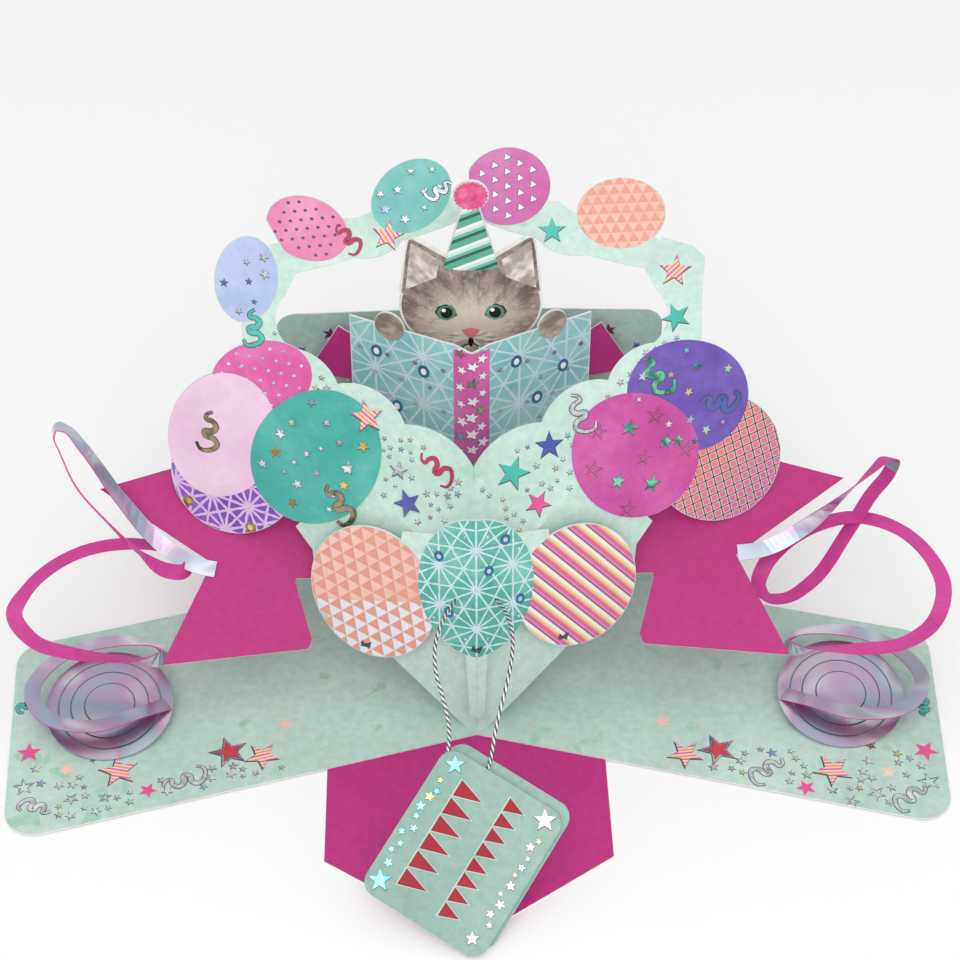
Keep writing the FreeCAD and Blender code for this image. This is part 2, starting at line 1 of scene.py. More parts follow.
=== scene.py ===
import bpy
import bmesh
import math
import random
from mathutils import Matrix, Vector


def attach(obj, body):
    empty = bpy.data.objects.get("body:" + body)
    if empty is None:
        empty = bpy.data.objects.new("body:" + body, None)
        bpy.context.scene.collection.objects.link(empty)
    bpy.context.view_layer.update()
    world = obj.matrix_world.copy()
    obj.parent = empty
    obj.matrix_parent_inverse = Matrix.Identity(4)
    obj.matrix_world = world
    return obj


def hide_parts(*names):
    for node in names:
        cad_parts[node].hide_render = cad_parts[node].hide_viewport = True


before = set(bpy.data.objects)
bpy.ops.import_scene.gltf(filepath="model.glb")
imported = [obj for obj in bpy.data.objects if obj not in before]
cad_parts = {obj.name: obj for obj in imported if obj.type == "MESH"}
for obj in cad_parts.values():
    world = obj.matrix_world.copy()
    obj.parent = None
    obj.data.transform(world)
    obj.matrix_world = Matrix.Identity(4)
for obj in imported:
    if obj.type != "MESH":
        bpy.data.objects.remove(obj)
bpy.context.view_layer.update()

# Base and under sheet: two leaves of mint card with watercolour blots and foil confetti, glued on a
# magenta sheet whose pointed flap shows in front. The backs of the mint sheets are bare white card.
MM = 0.001
CARD = 0.5 * MM
INK = 0.07 * MM                     # thickness of a print or foil film on the card
LAYER = 0.03 * MM                   # one printed form over another
UP = Vector((0, 0, 1))


def add_node(tree, kind, settings=None, **inputs):
    """New node; an input given as a socket is linked, any other is set."""
    made = tree.nodes.new(kind)
    for key, value in (settings or {}).items():
        setattr(made, key, value)
    for key, value in inputs.items():
        numbered = key[0] == "i" and key[1:].isdigit()
        socket = made.inputs[int(key[1:]) if numbered else key.replace("_", " ")]
        if isinstance(value, bpy.types.NodeSocket):
            tree.links.new(value, socket)
        else:
            socket.default_value = value
    return made


def calc(tree, operation, *values):
    return add_node(tree, "ShaderNodeMath", {"operation": operation},
                    **{"i%d" % i: value for i, value in enumerate(values)}).outputs[0]


def ramp(tree, factor, stops, interpolation="LINEAR"):
    """Colour ramp through (position, hex colour) stops."""
    made = add_node(tree, "ShaderNodeValToRGB", Fac=factor)
    made.color_ramp.interpolation = interpolation
    while len(made.color_ramp.elements) < len(stops):
        made.color_ramp.elements.new(0.5)
    for element, (position, colour) in zip(made.color_ramp.elements, stops):
        element.position = position
        element.color = tint(colour)
    return made.outputs["Color"]


def tint(colour):
    """Linear colour from a hex string."""
    levels = [int(colour[i:i + 2], 16) / 255 for i in (0, 2, 4)]
    return [v / 12.92 if v < 0.04045 else ((v + 0.055) / 1.055) ** 2.4 for v in levels] + [1.0]


def blend(tree, factor, below, above, kind="MIX"):
    """Colour between two; a colour given as hex is set."""
    made = add_node(tree, "ShaderNodeMix", {"data_type": "RGBA", "blend_type": kind}, i0=factor)
    for index, value in ((6, below), (7, above)):
        if isinstance(value, str):
            made.inputs[index].default_value = tint(value)
        else:
            tree.links.new(value, made.inputs[index])
    return made.outputs[2]


def finish_material(name, roughness=0.6, metallic=0.0):
    """New material, its node tree, its shader and the outputs of its coordinates."""
    material = bpy.data.materials.new(name)
    material.use_nodes = True
    tree = material.node_tree
    shader = tree.nodes["Principled BSDF"]
    shader.inputs["Roughness"].default_value = roughness
    shader.inputs["Metallic"].default_value = metallic
    return material, tree, shader, add_node(tree, "ShaderNodeTexCoord").outputs


def noise(tree, place, **settings):
    return add_node(tree, "ShaderNodeTexNoise", Vector=place, **settings).outputs["Fac"]


def coloured(material, tree, shader, place, colour, scale=900.0, height=0.05):
    """Gives a material its colour and the fine tooth of the card."""
    tree.links.new(colour, shader.inputs["Base Color"])
    tooth = noise(tree, place, Scale=scale, Detail=3.0)
    bump = add_node(tree, "ShaderNodeBump", Height=tooth, Strength=height, Distance=0.0003)
    tree.links.new(bump.outputs["Normal"], shader.inputs["Normal"])
    return material


def printed_card(name, shades, wash=18.0, blot=None, blot_share=0.62):
    """Card with a watercolour wash: shades run from dark to light, blots lie on it."""
    material, tree, shader, at = finish_material(name, 0.55)
    place = at["Object"]
    cloud = noise(tree, place, Scale=wash, Detail=6.0, Roughness=0.62)
    colour = ramp(tree, cloud, [(0.3, shades[0]), (0.5, shades[1]), (0.7, shades[2])])
    if blot:
        spots = noise(tree, place, Scale=wash * 5, Detail=2.0, Distortion=0.6)
        edge = ramp(tree, spots, [(blot_share, "000000"), (blot_share + 0.02, "FFFFFF")])
        colour = blend(tree, edge, colour, blot)
    fibres = ramp(tree, noise(tree, place, Scale=420.0, Detail=4.0), [(0.3, "EDEDED"), (0.7, "FFFFFF")])
    return coloured(material, tree, shader, place, blend(tree, 1.0, colour, fibres, "MULTIPLY"))


bare = printed_card("bare_card_back", ["E9E8E4", "F0EFEC", "F5F4F2"], 9.0)
bare_edge = printed_card("cut_card_edge", ["E4E3DF", "EEEDEA", "F4F3F1"], 60.0)
mint = printed_card("mint_print", ["B2D0C3", "BEDACE", "C9E2D7"], 16.0, "A9D3BF", 0.66)
magenta = printed_card("magenta_stock", ["B61F72", "BF267C", "C82D86"], 8.0)


def dress(name, fronts, faces, reverse, edge=bare_edge):
    """Front, back and cut-edge finish of a sheet, chosen by which way each face of it looks."""
    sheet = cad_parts[name]
    sheet.data.materials.clear()
    for material in (faces, reverse, edge):
        sheet.data.materials.append(material)
    for face in sheet.data.polygons:
        most = max((face.normal.dot(front) for front in fronts), key=abs)
        face.material_index = 2 if abs(most) < 0.9 else (0 if most > 0 else 1)


dress("base_sheet", [UP], mint, bare)
dress("under_sheet", [UP], magenta, magenta)


def new_film():
    """Empty film of prints, with a UV map for the flat places of its forms."""
    bm = bmesh.new()
    bm.loops.layers.uv.verify()
    return bm


def grown_corners(bm, faces):
    """Grows a second side from flat faces and gives its corners, still in place."""
    grown = bmesh.ops.extrude_face_region(bm, geom=list(faces))["geom"]
    return [part for part in grown if isinstance(part, bmesh.types.BMVert)]


def raise_film(bm, known, turn, place, level, finish):
    """Gives new flat faces their thickness, finish and UV map, a turn in degrees, a place and a level."""
    uv = bm.loops.layers.uv.verify()
    top = grown_corners(bm, [f for f in bm.faces if f.verts[0] not in known])
    bmesh.ops.translate(bm, vec=(0, 0, INK), verts=top)
    fresh = [v for v in bm.verts if v not in known]
    for corner in fresh:
        for loop in corner.link_loops:
            loop[uv].uv = (corner.co.x / MM, corner.co.y / MM)
            loop.face.material_index = finish
    bmesh.ops.rotate(bm, cent=(0, 0, 0), matrix=Matrix.Rotation(math.radians(turn), 3, "Z"), verts=fresh)
    bmesh.ops.translate(bm, vec=(place[0] * MM, place[1] * MM, level * LAYER), verts=fresh)


def cut_form(bm, corners, size, turn, centre, level, finish=0, spread=None):
    """Flat form of a film: a round of so many corners, or what spread makes of it, in millimetres."""
    known = set(bm.verts)
    ring = bmesh.ops.create_circle(bm, cap_ends=True, radius=1.0, segments=corners)["verts"]
    if spread:
        spread(ring)
    bmesh.ops.scale(bm, vec=(size[0] * MM, size[1] * MM, 1), verts=ring)
    raise_film(bm, known, turn, centre, level, finish)


def painted_shadow_layers(shadow_rim, finish):
    """Layers of an embossed print: how far each reaches out, its level and its finish; where it has a rim, a
    larger dark layer goes first as painted shadow of its raised edge.
    """
    return ((shadow_rim, 0, DARK_INK_AND_PAINTED_SHADOW), (0.0, 1, finish)) if shadow_rim else ((0.0, 1, finish),)


def pointed(corners, depth=0.42):
    """Five-pointed star from a ring of ten corners."""
    for corner in corners[1::2]:
        corner.co *= depth


def star(bm, x, y, radius, turn, level, finish=0, shadow_rim=0.3):
    """Foil or printed star over a larger dark star, set a little down and to the left, which is painted
    shadow of its embossed edge where it has one.
    """
    for grown, above, dye in painted_shadow_layers(shadow_rim, finish):
        cut_form(bm, 10, (radius + grown, radius + grown), turn, (x - grown * 0.35, y - grown * 0.35),
                 level + above, dye, pointed)


def outlined_star(bm, x, y, radius, turn, level, finish=0, line=0.35):
    """Star drawn as a thin closed line."""
    known = set(bm.verts)
    ring = bmesh.ops.create_circle(bm, cap_ends=True, radius=radius * MM, segments=10)["verts"]
    pointed(ring)
    face = ring[0].link_faces[0]
    bmesh.ops.inset_region(bm, faces=[face], thickness=line * MM, use_boundary=True)
    bmesh.ops.delete(bm, geom=[face], context="FACES_ONLY")
    raise_film(bm, known, turn, (x, y), level, finish)


def spline_points(points, steps):
    """Smooth line through the points, steps stations to a span: place, span and share of it."""
    out = []
    ends = [points[0] * 2 - points[1]] + points + [points[-1] * 2 - points[-2]]
    for i in range(1, len(ends) - 2):
        a, b, c, d = ends[i - 1:i + 3]
        before, span, after = (max((q - p).length, 1e-6) for p, q in ((a, b), (b, c), (c, d)))
        leave = ((c - b) / span * before + (b - a) / before * span) / (before + span) * span
        arrive = ((d - c) / after * span + (c - b) / span * after) / (span + after) * span
        for step in range(steps + (i == len(ends) - 3)):
            u = step / steps
            out.append((b * (2 * u ** 3 - 3 * u ** 2 + 1) + leave * (u ** 3 - 2 * u ** 2 + u)
                        + c * (3 * u ** 2 - 2 * u ** 3) + arrive * (u ** 3 - u ** 2), i - 1, u))
    return out


def grow_strip(bm, sides):
    """Strip of faces grown edge by edge through pairs of side points; gives its corners in pairs."""
    edge = bm.edges.new([bm.verts.new(place) for place in sides[0]])
    pairs = [tuple(edge.verts)]
    for left, right in sides[1:]:
        grown = bmesh.ops.extrude_edge_only(bm, edges=[edge])["geom"]
        edge = [e for e in grown if isinstance(e, bmesh.types.BMEdge)][0]
        first, second = edge.verts
        if (first.co - pairs[-1][0].co).length > (first.co - pairs[-1][1].co).length:
            first, second = second, first
        first.co, second.co = left, right
        pairs.append((first, second))
    return pairs


def squiggle(bm, x, y, length, turn, level, finish=0, width=1.3, shadow_rim=0.25):
    """Curl of ribbon drawn as two open loops and a tail, wider in the middle, over a wider dark strip that
    is painted shadow of its embossed edge where it has one.
    """
    curl = [(-0.42, 0.2), (-0.4, 0.4), (-0.14, 0.5), (0.13, 0.4), (0.1, 0.22), (-0.1, 0.08), (-0.08, -0.02),
            (0.14, 0.02), (0.3, -0.08), (0.24, -0.25), (0.1, -0.34), (0.15, -0.44), (0.36, -0.48)]
    line = [place for place, _, _ in spline_points([Vector((a, b, 0)) * length * MM for a, b in curl], 3)]
    for extra, above, dye in painted_shadow_layers(shadow_rim, finish):
        sides = []
        for i, point in enumerate(line):
            swell = 0.35 + 0.65 * math.sin(math.pi * i / (len(line) - 1))
            ahead = (line[min(i + 1, len(line) - 1)] - line[max(i - 1, 0)]).normalized()
            side = Vector((-ahead.y, ahead.x, 0)) * (width * swell + 2 * extra) * MM / 2
            sides.append((point + side, point - side))
        known = set(bm.verts)
        grow_strip(bm, sides)
        raise_film(bm, known, turn, (x, y), level + above, dye)


def plain_print(name, colour, deeper, roughness=0.5):
    """Flat ink that is a little uneven, as on coated card."""
    material, tree, shader, at = finish_material(name, roughness)
    cloud = noise(tree, at["Object"], Scale=70.0, Detail=4.0)
    uneven = ramp(tree, cloud, [(0.35, deeper), (0.65, colour)])
    return coloured(material, tree, shader, at["Object"], uneven)


def foil(name, hues, scale=30.0, roughness=0.24):
    """Holographic or plain metal foil whose colour drifts over the sheet."""
    material, tree, shader, at = finish_material(name, roughness, 1.0)
    drift = noise(tree, at["Object"], Scale=scale, Detail=1.0, Distortion=1.2)
    stops = [(0.25 + 0.5 * i / (len(hues) - 1), hue) for i, hue in enumerate(hues)]
    return coloured(material, tree, shader, at["Object"], ramp(tree, drift, stops), 300.0, 0.08)


def striped(name, bands, width, turn=0.0, shiny=()):
    """Stripes across the piece's own flat coordinates; the bands listed in shiny are foil."""
    material, tree, shader, at = finish_material(name, 0.4)
    turned = add_node(tree, "ShaderNodeMapping", Vector=at["UV"], Rotation=(0, 0, math.radians(turn)))
    height = add_node(tree, "ShaderNodeSeparateXYZ", Vector=turned.outputs["Vector"]).outputs["Y"]
    share = calc(tree, "FRACT", calc(tree, "ADD", calc(tree, "DIVIDE", height, width), 20.0))
    if shiny:
        metal = [(i / len(bands), "FFFFFF" if i in shiny else "000000") for i in range(len(bands))]
        tree.links.new(ramp(tree, share, metal, "CONSTANT"), shader.inputs["Metallic"])
    stops = [(i / len(bands), band) for i, band in enumerate(bands)]
    return coloured(material, tree, shader, at["Object"], ramp(tree, share, stops, "CONSTANT"))


silver = foil("silver_foil", ["9BA3A8", "E2E6E8", "B4BABF", "F2F4F6", "A6AEB4"], 160.0)
hologram = foil("hologram_foil", ["C38FBE", "96AEE0", "8AD2C6", "E0D68E", "D69AB2", "A39CDC"], 120.0)
red_print = plain_print("red_print", "D6404E", "C63040")
pink_print = plain_print("pink_print", "E85C9C", "DB4689")
peach_print = plain_print("peach_print", "F3CFBE", "EDBFAE")
teal_print = plain_print("teal_print", "4EC0AE", "37AE9E")
navy_print = plain_print("navy_print", "5A63B4", "47509F")
candy_stripe = striped("candy_stripe_print", ["DB5AA0", "EFC9BC", "E59A58", "EBCFC6"], 2.6, 24)
# Dark ink: real dark dots and edges of some prints, and painted shadow round embossed foil and prints.
dark_ink_and_painted_shadow = plain_print("dark_ink_and_painted_edge_shadow", "5C5A66", "45434E")
confetti_finishes = [silver, hologram, red_print, pink_print, peach_print, teal_print, navy_print,
                     candy_stripe, dark_ink_and_painted_shadow]
SILVER, HOLOGRAM, RED, PINK, PEACH, TEAL, NAVY, CANDY, DARK_INK_AND_PAINTED_SHADOW = range(9)


def sheet_print(name, bm, finishes):
    """Object from a film of prints that already lies in place."""
    bm.normal_update()
    bmesh.ops.recalc_face_normals(bm, faces=bm.faces)
    mesh = bpy.data.meshes.new(name)
    bm.to_mesh(mesh)
    bm.free()
    piece = bpy.data.objects.new(name, mesh)
    bpy.context.scene.collection.objects.link(piece)
    for finish in finishes:
        mesh.materials.append(finish)
    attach(piece, "root")
    return piece


def confetti(bm, spots, count, strewn, seed, small, keep_off, side=1):
    """Small foil stars where strewn(chance) drops them, clear of the large prints."""
    chance = random.Random(seed)
    placed = list(spots)
    tries = 0
    while count > 0 and tries < 4000:
        tries += 1
        x, y = strewn(chance)
        x *= side
        if any(math.hypot(x - a, y - b) < r + keep_off for a, b, r in placed):
            continue
        radius = chance.uniform(*small)
        placed.append((x, y, radius))
        star(bm, x, y, radius, chance.uniform(0, 72), 0, HOLOGRAM if chance.random() < 0.3 else SILVER)
        count -= 1


base_top = 2 * CARD
base_large = [(-113.9, -12.9, 6.2, 12, CANDY), (-68.6, -7.7, 5.4, 40, CANDY), (-143.4, -4.8, 4.2, 5, PINK),
              (-130.6, -12.1, 2.9, 30, PEACH), (-62.3, 5.7, 3.0, 10, PEACH), (-104.1, -21.2, 3.2, 50, PINK),
              (66.4, -9.9, 5.6, 30, CANDY), (112.5, -17.7, 6.2, 25, CANDY), (60.2, 4.0, 3.0, 10, PEACH),
              (143.3, -10.4, 4.2, 40, PINK), (130.2, -18.9, 3.0, 60, PEACH), (103.0, -24.8, 3.3, 20, PINK)]
base_framed = [(-79.4, -5.8, 4.3, 18, RED), (77.0, -8.3, 4.3, 18, RED)]
base_open = [(-143.4, -18.8, 3.6, 10), (-128.0, -24.0, 2.6, 40), (-117.5, -23.5, 2.4, 0),
             (124.7, -27.4, 3.2, 30), (142.0, -23.0, 4.0, 10), (116.7, -30.4, 2.6, 50)]
base_curls = [(-92.9, -16.3, 12.5, -98, SILVER), (-138.9, -27.5, 9.0, 40, SILVER),
              (-146.4, 15.5, 6.5, 100, TEAL), (91.9, -17.6, 12.0, 100, SILVER),
              (135.6, -29.6, 11.5, 100, SILVER), (145.4, 8.8, 7.0, -30, TEAL)]
bm = new_film()
for x, y, radius, turn, finish in base_large:
    star(bm, x, y, radius, turn, 0, finish, 0.7 if finish == CANDY else 0.0)
for x, y, radius, turn, finish in base_framed:
    star(bm, x, y, radius + 2.0, turn, 0, SILVER, 0.5)
    star(bm, x, y, radius, turn, 3, finish, 0.3)
for x, y, radius, turn in base_open:
    # Dark outline set a little aside under the foil one: painted shadow of its embossed edge.
    outlined_star(bm, x + 0.15, y - 0.15, radius, turn, 0, DARK_INK_AND_PAINTED_SHADOW, 0.6)
    outlined_star(bm, x, y, radius, turn, 2, SILVER, 0.5)
for x, y, length, turn, finish in base_curls:
    squiggle(bm, x, y, length, turn, 0, finish, 1.7)


def strewn_on_base(chance):
    """Thick along the front edge of a leaf, thinner behind it."""
    x = chance.uniform(62, 141)
    front_edge = -math.tan(math.radians(15.5)) * x
    return x, front_edge + 4 + abs(chance.gauss(0, 1)) * (3 + 0.08 * (x - 60))


taken = [spot[:3] for spot in base_large + base_framed + base_open] + [(x, y, 5) for x, y, *_ in base_curls]
for side in (-1, 1):
    confetti(bm, taken, 28, strewn_on_base, 11 + side, (0.9, 1.8), 1.8, side)
bmesh.ops.translate(bm, vec=(0, 0, base_top), verts=bm.verts)
sheet_print("base_prints", bm, confetti_finishes)

# Wreath: one die-cut sheet of mint card folded through a single hub point into two wings, a trough and
# the crown of a hoop, with balloons printed over the folds and cut round their outer edges.
kite_rise, notch_rise, crown_rise = 75.0, 31.7, 41.0        # degrees above the base
kite_fold, notch_fold, crown_fold = [Vector((0, math.cos(rise), math.sin(rise)))
                                     for rise in map(math.radians, (kite_rise, notch_rise, crown_rise))]
foot, kite_length = Vector((0, 2.0, 1.0)) * MM, 51.4 * MM
hub = foot + kite_fold * kite_length
wing_rise, wing_turn, hoop_angle = math.radians(53.35), math.radians(45.0), math.radians(18.2)
wing_fold = Vector((math.sin(wing_turn), math.cos(wing_turn) * math.cos(wing_rise),
                    math.cos(wing_turn) * math.sin(wing_rise)))


def panel(origin, first, second):
    """Matrix from a sheet's flat coordinates to space; the third axis looks to the viewer's side."""
    u = first.normalized()
    v = (second - u * second.dot(u)).normalized()
    n = u.cross(v)
    if n.y > 1e-6:
        n = -n
    place = Matrix((u, v, n)).transposed().to_4x4()
    place.translation = origin
    return place


def flipped(place):
    """The same panel of the left half."""
    return Matrix.Scale(-1, 4, (1, 0, 0)) @ place


def turned_over(place):
    """Panel on the far side of the first axis, for flat points with a negative second coordinate."""
    return place @ Matrix.Scale(-1, 4, (0, 1, 0))


def front_of(place):
    """Which way the printed side of a panel looks."""
    return place.to_3x3() @ UP


def both_fronts(place):
    return [front_of(place), front_of(flipped(place))]


trough_panel = panel(hub, wing_fold, notch_fold)
wing_panel = turned_over(panel(hub, wing_fold, -kite_fold))
hoop_line = trough_panel.to_3x3() @ Vector((math.cos(hoop_angle), math.sin(hoop_angle), 0))
crown_panel = panel(hub, hoop_line, crown_fold)
ring_mint = printed_card("wreath_mint_print", ["BFDDD1", "CAE5DA", "D5EDE3"], 16.0, "B4DFCB", 0.67)
dress("wreath_sheet",
      both_fronts(trough_panel) + both_fronts(wing_panel) + both_fronts(crown_panel), ring_mint, bare)
FACE = CARD / 2                     # from the middle of a sheet to its printed side


def cut_film(bm, place, direction, drop=False):
    """Cuts a film along a plane, and where asked drops and closes what lies behind it."""
    bmesh.ops.bisect_plane(bm, geom=list(bm.verts) + list(bm.edges) + list(bm.faces), dist=1e-7,
                           plane_co=place, plane_no=direction, clear_inner=drop)
    if drop:
        bmesh.ops.holes_fill(bm, edges=[e for e in bm.edges if e.is_boundary])


def lay_on(bm, place):
    """Lays a flat film on the printed side of one panel."""
    bmesh.ops.translate(bm, vec=(0, 0, FACE), verts=bm.verts)
    bmesh.ops.transform(bm, matrix=place, verts=bm.verts)


def fold_over(bm, positive, negative):
    """Lays a flat film on two panels that meet on its first axis."""
    cut_film(bm, (0, 0, 0), (0, 1, 0))
    normals = [front_of(place).normalized() for place in (positive, negative)]
    middle = (normals[0] + normals[1]).normalized()
    opening = max(middle.dot(normals[0]), 0.3)
    for corner in bm.verts:
        t, s, lift = corner.co
        if abs(s) < 1e-6:
            corner.co = positive @ Vector((t, 0, 0)) + middle * ((lift + FACE) / opening)
        else:
            corner.co = (positive if s > 0 else negative) @ Vector((t, s, lift + FACE))


def watercolour(name, shades, scale=55.0, pattern=None):
    """Painted print: a mottled wash, and a pattern over it."""
    material, tree, shader, at = finish_material(name, 0.5)
    cloud = noise(tree, at["Object"], Scale=scale, Detail=8.0, Roughness=0.7)
    colour = ramp(tree, cloud, [(0.32, shades[0]), (0.5, shades[1]), (0.68, shades[2])])
    if pattern:
        colour = pattern(tree, shader, at["UV"], colour)
    return coloured(material, tree, shader, at["Object"], colour)


def rows(tree, flat, angle, spacing, shift=0.0):
    """How far along a family of parallel lines, in spacings."""
    turned = add_node(tree, "ShaderNodeMapping", Vector=flat, Rotation=(0, 0, math.radians(angle)))
    across = add_node(tree, "ShaderNodeSeparateXYZ", Vector=turned.outputs["Vector"]).outputs["Y"]
    return calc(tree, "ADD", calc(tree, "DIVIDE", across, spacing), 50.0 + shift)


def off_line(tree, flat, angle, spacing):
    """Distance from the nearest of a family of parallel lines, in spacings."""
    share = calc(tree, "FRACT", rows(tree, flat, angle, spacing, 0.5))
    return calc(tree, "ABSOLUTE", calc(tree, "SUBTRACT", share, 0.5))


def foiled(tree, shader, share, metal):
    """Makes the marked share of a print foil."""
    tree.links.new(calc(tree, "MULTIPLY", share, metal), shader.inputs["Metallic"])
    tree.links.new(calc(tree, "MULTIPLY_ADD", share, -0.25, 0.5), shader.inputs["Roughness"])


def lattice(edge, width, line):
    """Pattern of triangles with their medians, drawn as thin brushed lines."""
    def paint(tree, shader, flat, colour):
        nearest = 1000.0
        for angle in range(0, 180, 30):
            spacing = edge * math.sqrt(3) / 2 if angle % 60 == 0 else edge / 2
            away = calc(tree, "MULTIPLY", off_line(tree, flat, angle, spacing), spacing)
            nearest = calc(tree, "MINIMUM", nearest, away)
        limit = calc(tree, "MULTIPLY", noise(tree, flat, Scale=0.5, Detail=2.0), width / 2)
        return blend(tree, calc(tree, "LESS_THAN", nearest, limit), colour, line)
    return paint


def bunting(edge, darker, metal_below=None):
    """Pattern of triangles, every other one darker, and foil below a line."""
    def paint(tree, shader, flat, colour):
        height = edge * math.sqrt(3) / 2
        total = 0.0
        for angle in (0, 60, 120):
            total = calc(tree, "ADD", total, calc(tree, "FLOOR", rows(tree, flat, angle, height)))
        odd = calc(tree, "GREATER_THAN", calc(tree, "ABSOLUTE", calc(tree, "MODULO", total, 2.0)), 0.5)
        if metal_below is not None:
            height_up = add_node(tree, "ShaderNodeSeparateXYZ", Vector=flat).outputs["X"]
            low = calc(tree, "LESS_THAN", height_up, metal_below)
            metal = calc(tree, "MULTIPLY", low, calc(tree, "SUBTRACT", 1.0, odd))
            foiled(tree, shader, metal, 0.9)
            colour = blend(tree, metal, colour, "E2E4EE")
        return blend(tree, odd, colour, darker)
    return paint


dotted_pink = watercolour("dotted_pink_print", ["CE4A92", "D85C9F", "E277B0"])
pale_pink = watercolour("pale_pink_print", ["DDB4D0", "E4C2D8", "EBD0E2"])
teal_wash = watercolour("teal_wash_print", ["2F9C8E", "42AA9C", "62B9AC"])
purple_lattice = watercolour("purple_lattice_print", ["6B3DA0", "7A4CB0", "8E64BC"],
                             pattern=lattice(13.0, 1.7, "D6B4DE"))
lavender = watercolour("lavender_print", ["A5B4DE", "B7C3E8", "CCD5F0"])
violet_wash = watercolour("violet_wash_print", ["5A40A0", "6950AC", "7E66BA"])
rose_wash = watercolour("rose_wash_print", ["B83E92", "C44C9C", "D066AC"])


def comb(tree, shader, flat, colour):
    """Orange running into pink under a foil comb pattern, in place of the wash."""
    slope = add_node(tree, "ShaderNodeSeparateXYZ", Vector=flat).outputs["X"]
    shift = calc(tree, "MULTIPLY_ADD", slope, 0.022, 0.5)
    colour = ramp(tree, shift, [(0.1, "CC6CA6"), (0.45, "E0788A"), (0.75, "EE7650")])
    nearest = calc(tree, "MINIMUM", off_line(tree, flat, 28, 3.0), off_line(tree, flat, 118, 3.0))
    line = calc(tree, "LESS_THAN", nearest, 0.17)
    shade = calc(tree, "LESS_THAN", nearest, 0.06)
    foiled(tree, shader, line, 0.95)
    return blend(tree, shade, blend(tree, line, colour, "DCC8BE"), "5E3A40")


comb_print = watercolour("comb_print", ["E8836A", "EE9078", "F3A088"], pattern=comb)
hoop_pink = watercolour("hoop_pink_print", ["DC6C9E", "E284AE", "E89CBE"])
hoop_teal = watercolour("hoop_teal_print", ["62B0A8", "76BEB6", "8ECAC4"])
hoop_magenta = watercolour("hoop_magenta_print", ["C45A9C", "CC6CAA", "D486B8"])
hoop_peach = watercolour("hoop_peach_print", ["E8AC9A", "EDB8A8", "F0C4B6"], pattern=bunting(3.6, "E39C88"))
brown_foil = foil("brown_foil", ["5E5240", "A89878", "4A4238"], 160.0, 0.3)
crimson_ink = plain_print("crimson_ink", "B43A5C", "9E2A4C")
green_foil = foil("green_foil", ["3A8A6C", "7FE0B4", "2F6E60", "A5EFD2"], 80.0)
gold_foil = foil("gold_foil", ["C9963E", "F1CE7A", "A87A3C"], 80.0)
white_ink = plain_print("white_ink", "FBFBFB", "F1F1F4")
balloon_finishes = confetti_finishes + [
    dotted_pink, pale_pink, teal_wash, purple_lattice, lavender, violet_wash, rose_wash, comb_print,
    hoop_pink, hoop_teal, hoop_magenta, hoop_peach, brown_foil, crimson_ink, green_foil, gold_foil,
    white_ink]
(DOTTED, PALE, WASH, LATTICE, LAVENDER, VIOLET, ROSE, COMB, HOOP_PINK, HOOP_TEAL, HOOP_MAGENTA, HOOP_PEACH,
 BROWN, CRIMSON, GREEN, GOLD, WHITE) = range(9, 26)


def balloon(bm, shape, level, finish, trim=0.25):
    """Oval balloon print; the shape gives its centre, half height, half width and turn."""
    t, s, tall, broad, turn = shape
    cut_form(bm, 64, (tall - trim, broad - trim), turn, (t, s), level, finish)


def on_balloon(shape, x, y):
    """Flat place of a point that is given along a balloon's own axes."""
    t, s, _, _, turn = shape
    c, d = math.cos(math.radians(turn)), math.sin(math.radians(turn))
    return t + c * x - d * y, s + d * x + c * y


def scatter_on(bm, shape, count, seed, level, finishes, sizes=(0.8, 1.8)):
    """Small stars strewn inside a balloon."""
    chance = random.Random(seed)
    placed = []
    for _ in range(count * 30):
        if len(placed) >= count:
            break
        reach, angle = math.sqrt(chance.random()) * 0.82, chance.uniform(0, 2 * math.pi)
        x, y = reach * math.cos(angle) * shape[2], reach * math.sin(angle) * shape[3]
        if any(math.hypot(x - a, y - b) < 5.0 for a, b in placed):
            continue
        placed.append((x, y))
        star(bm, *on_balloon(shape, x, y), chance.uniform(*sizes), chance.uniform(0, 72), level,
             chance.choice(finishes))


def dots_on(bm, shape, spacing, radius, level, finish, within=0.86):
    """Rows of dots inside a balloon, every other row shifted."""
    tall, broad, turn = shape[2:]
    count = int(tall / spacing) + 2
    for i in range(-count, count + 1):
        for j in range(-count, count + 1):
            x, y = i * spacing * math.sqrt(3) / 2, (j + 0.5 * (i % 2)) * spacing
            if (x / tall) ** 2 + (y / broad) ** 2 < within ** 2:
                cut_form(bm, 8, (radius, radius * 0.8), turn, on_balloon(shape, x, y), level, finish)


def ringed_dots(bm, places, *rounds):
    """Dots with a smaller one on each; a round has its corners, half sizes, level and finish."""
    for place in places:
        for corners, size, level, finish in rounds:
            cut_form(bm, corners, size, 0, place, level, finish)


left_dotted, left_pale, left_teal, left_lattice = [
    (93.8, 0.6, 17.7, 12.8, 114.0), (90.7, -24.0, 23.4, 18.0, 77.0),
    (64.9, -6.1, 25.0, 20.3, 86.0), (80.2, -30.6, 24.4, 21.0, 91.0)]
left_lavender = (119.1, 22.5, 14.6, 10.2, 57.0)
right_violet, right_rose, right_comb = [
    (89.9, -6.3, 21.8, 18.3, 105.0), (65.1, -7.9, 23.4, 20.1, 94.0), (82.9, -31.0, 24.4, 21.0, 93.0)]

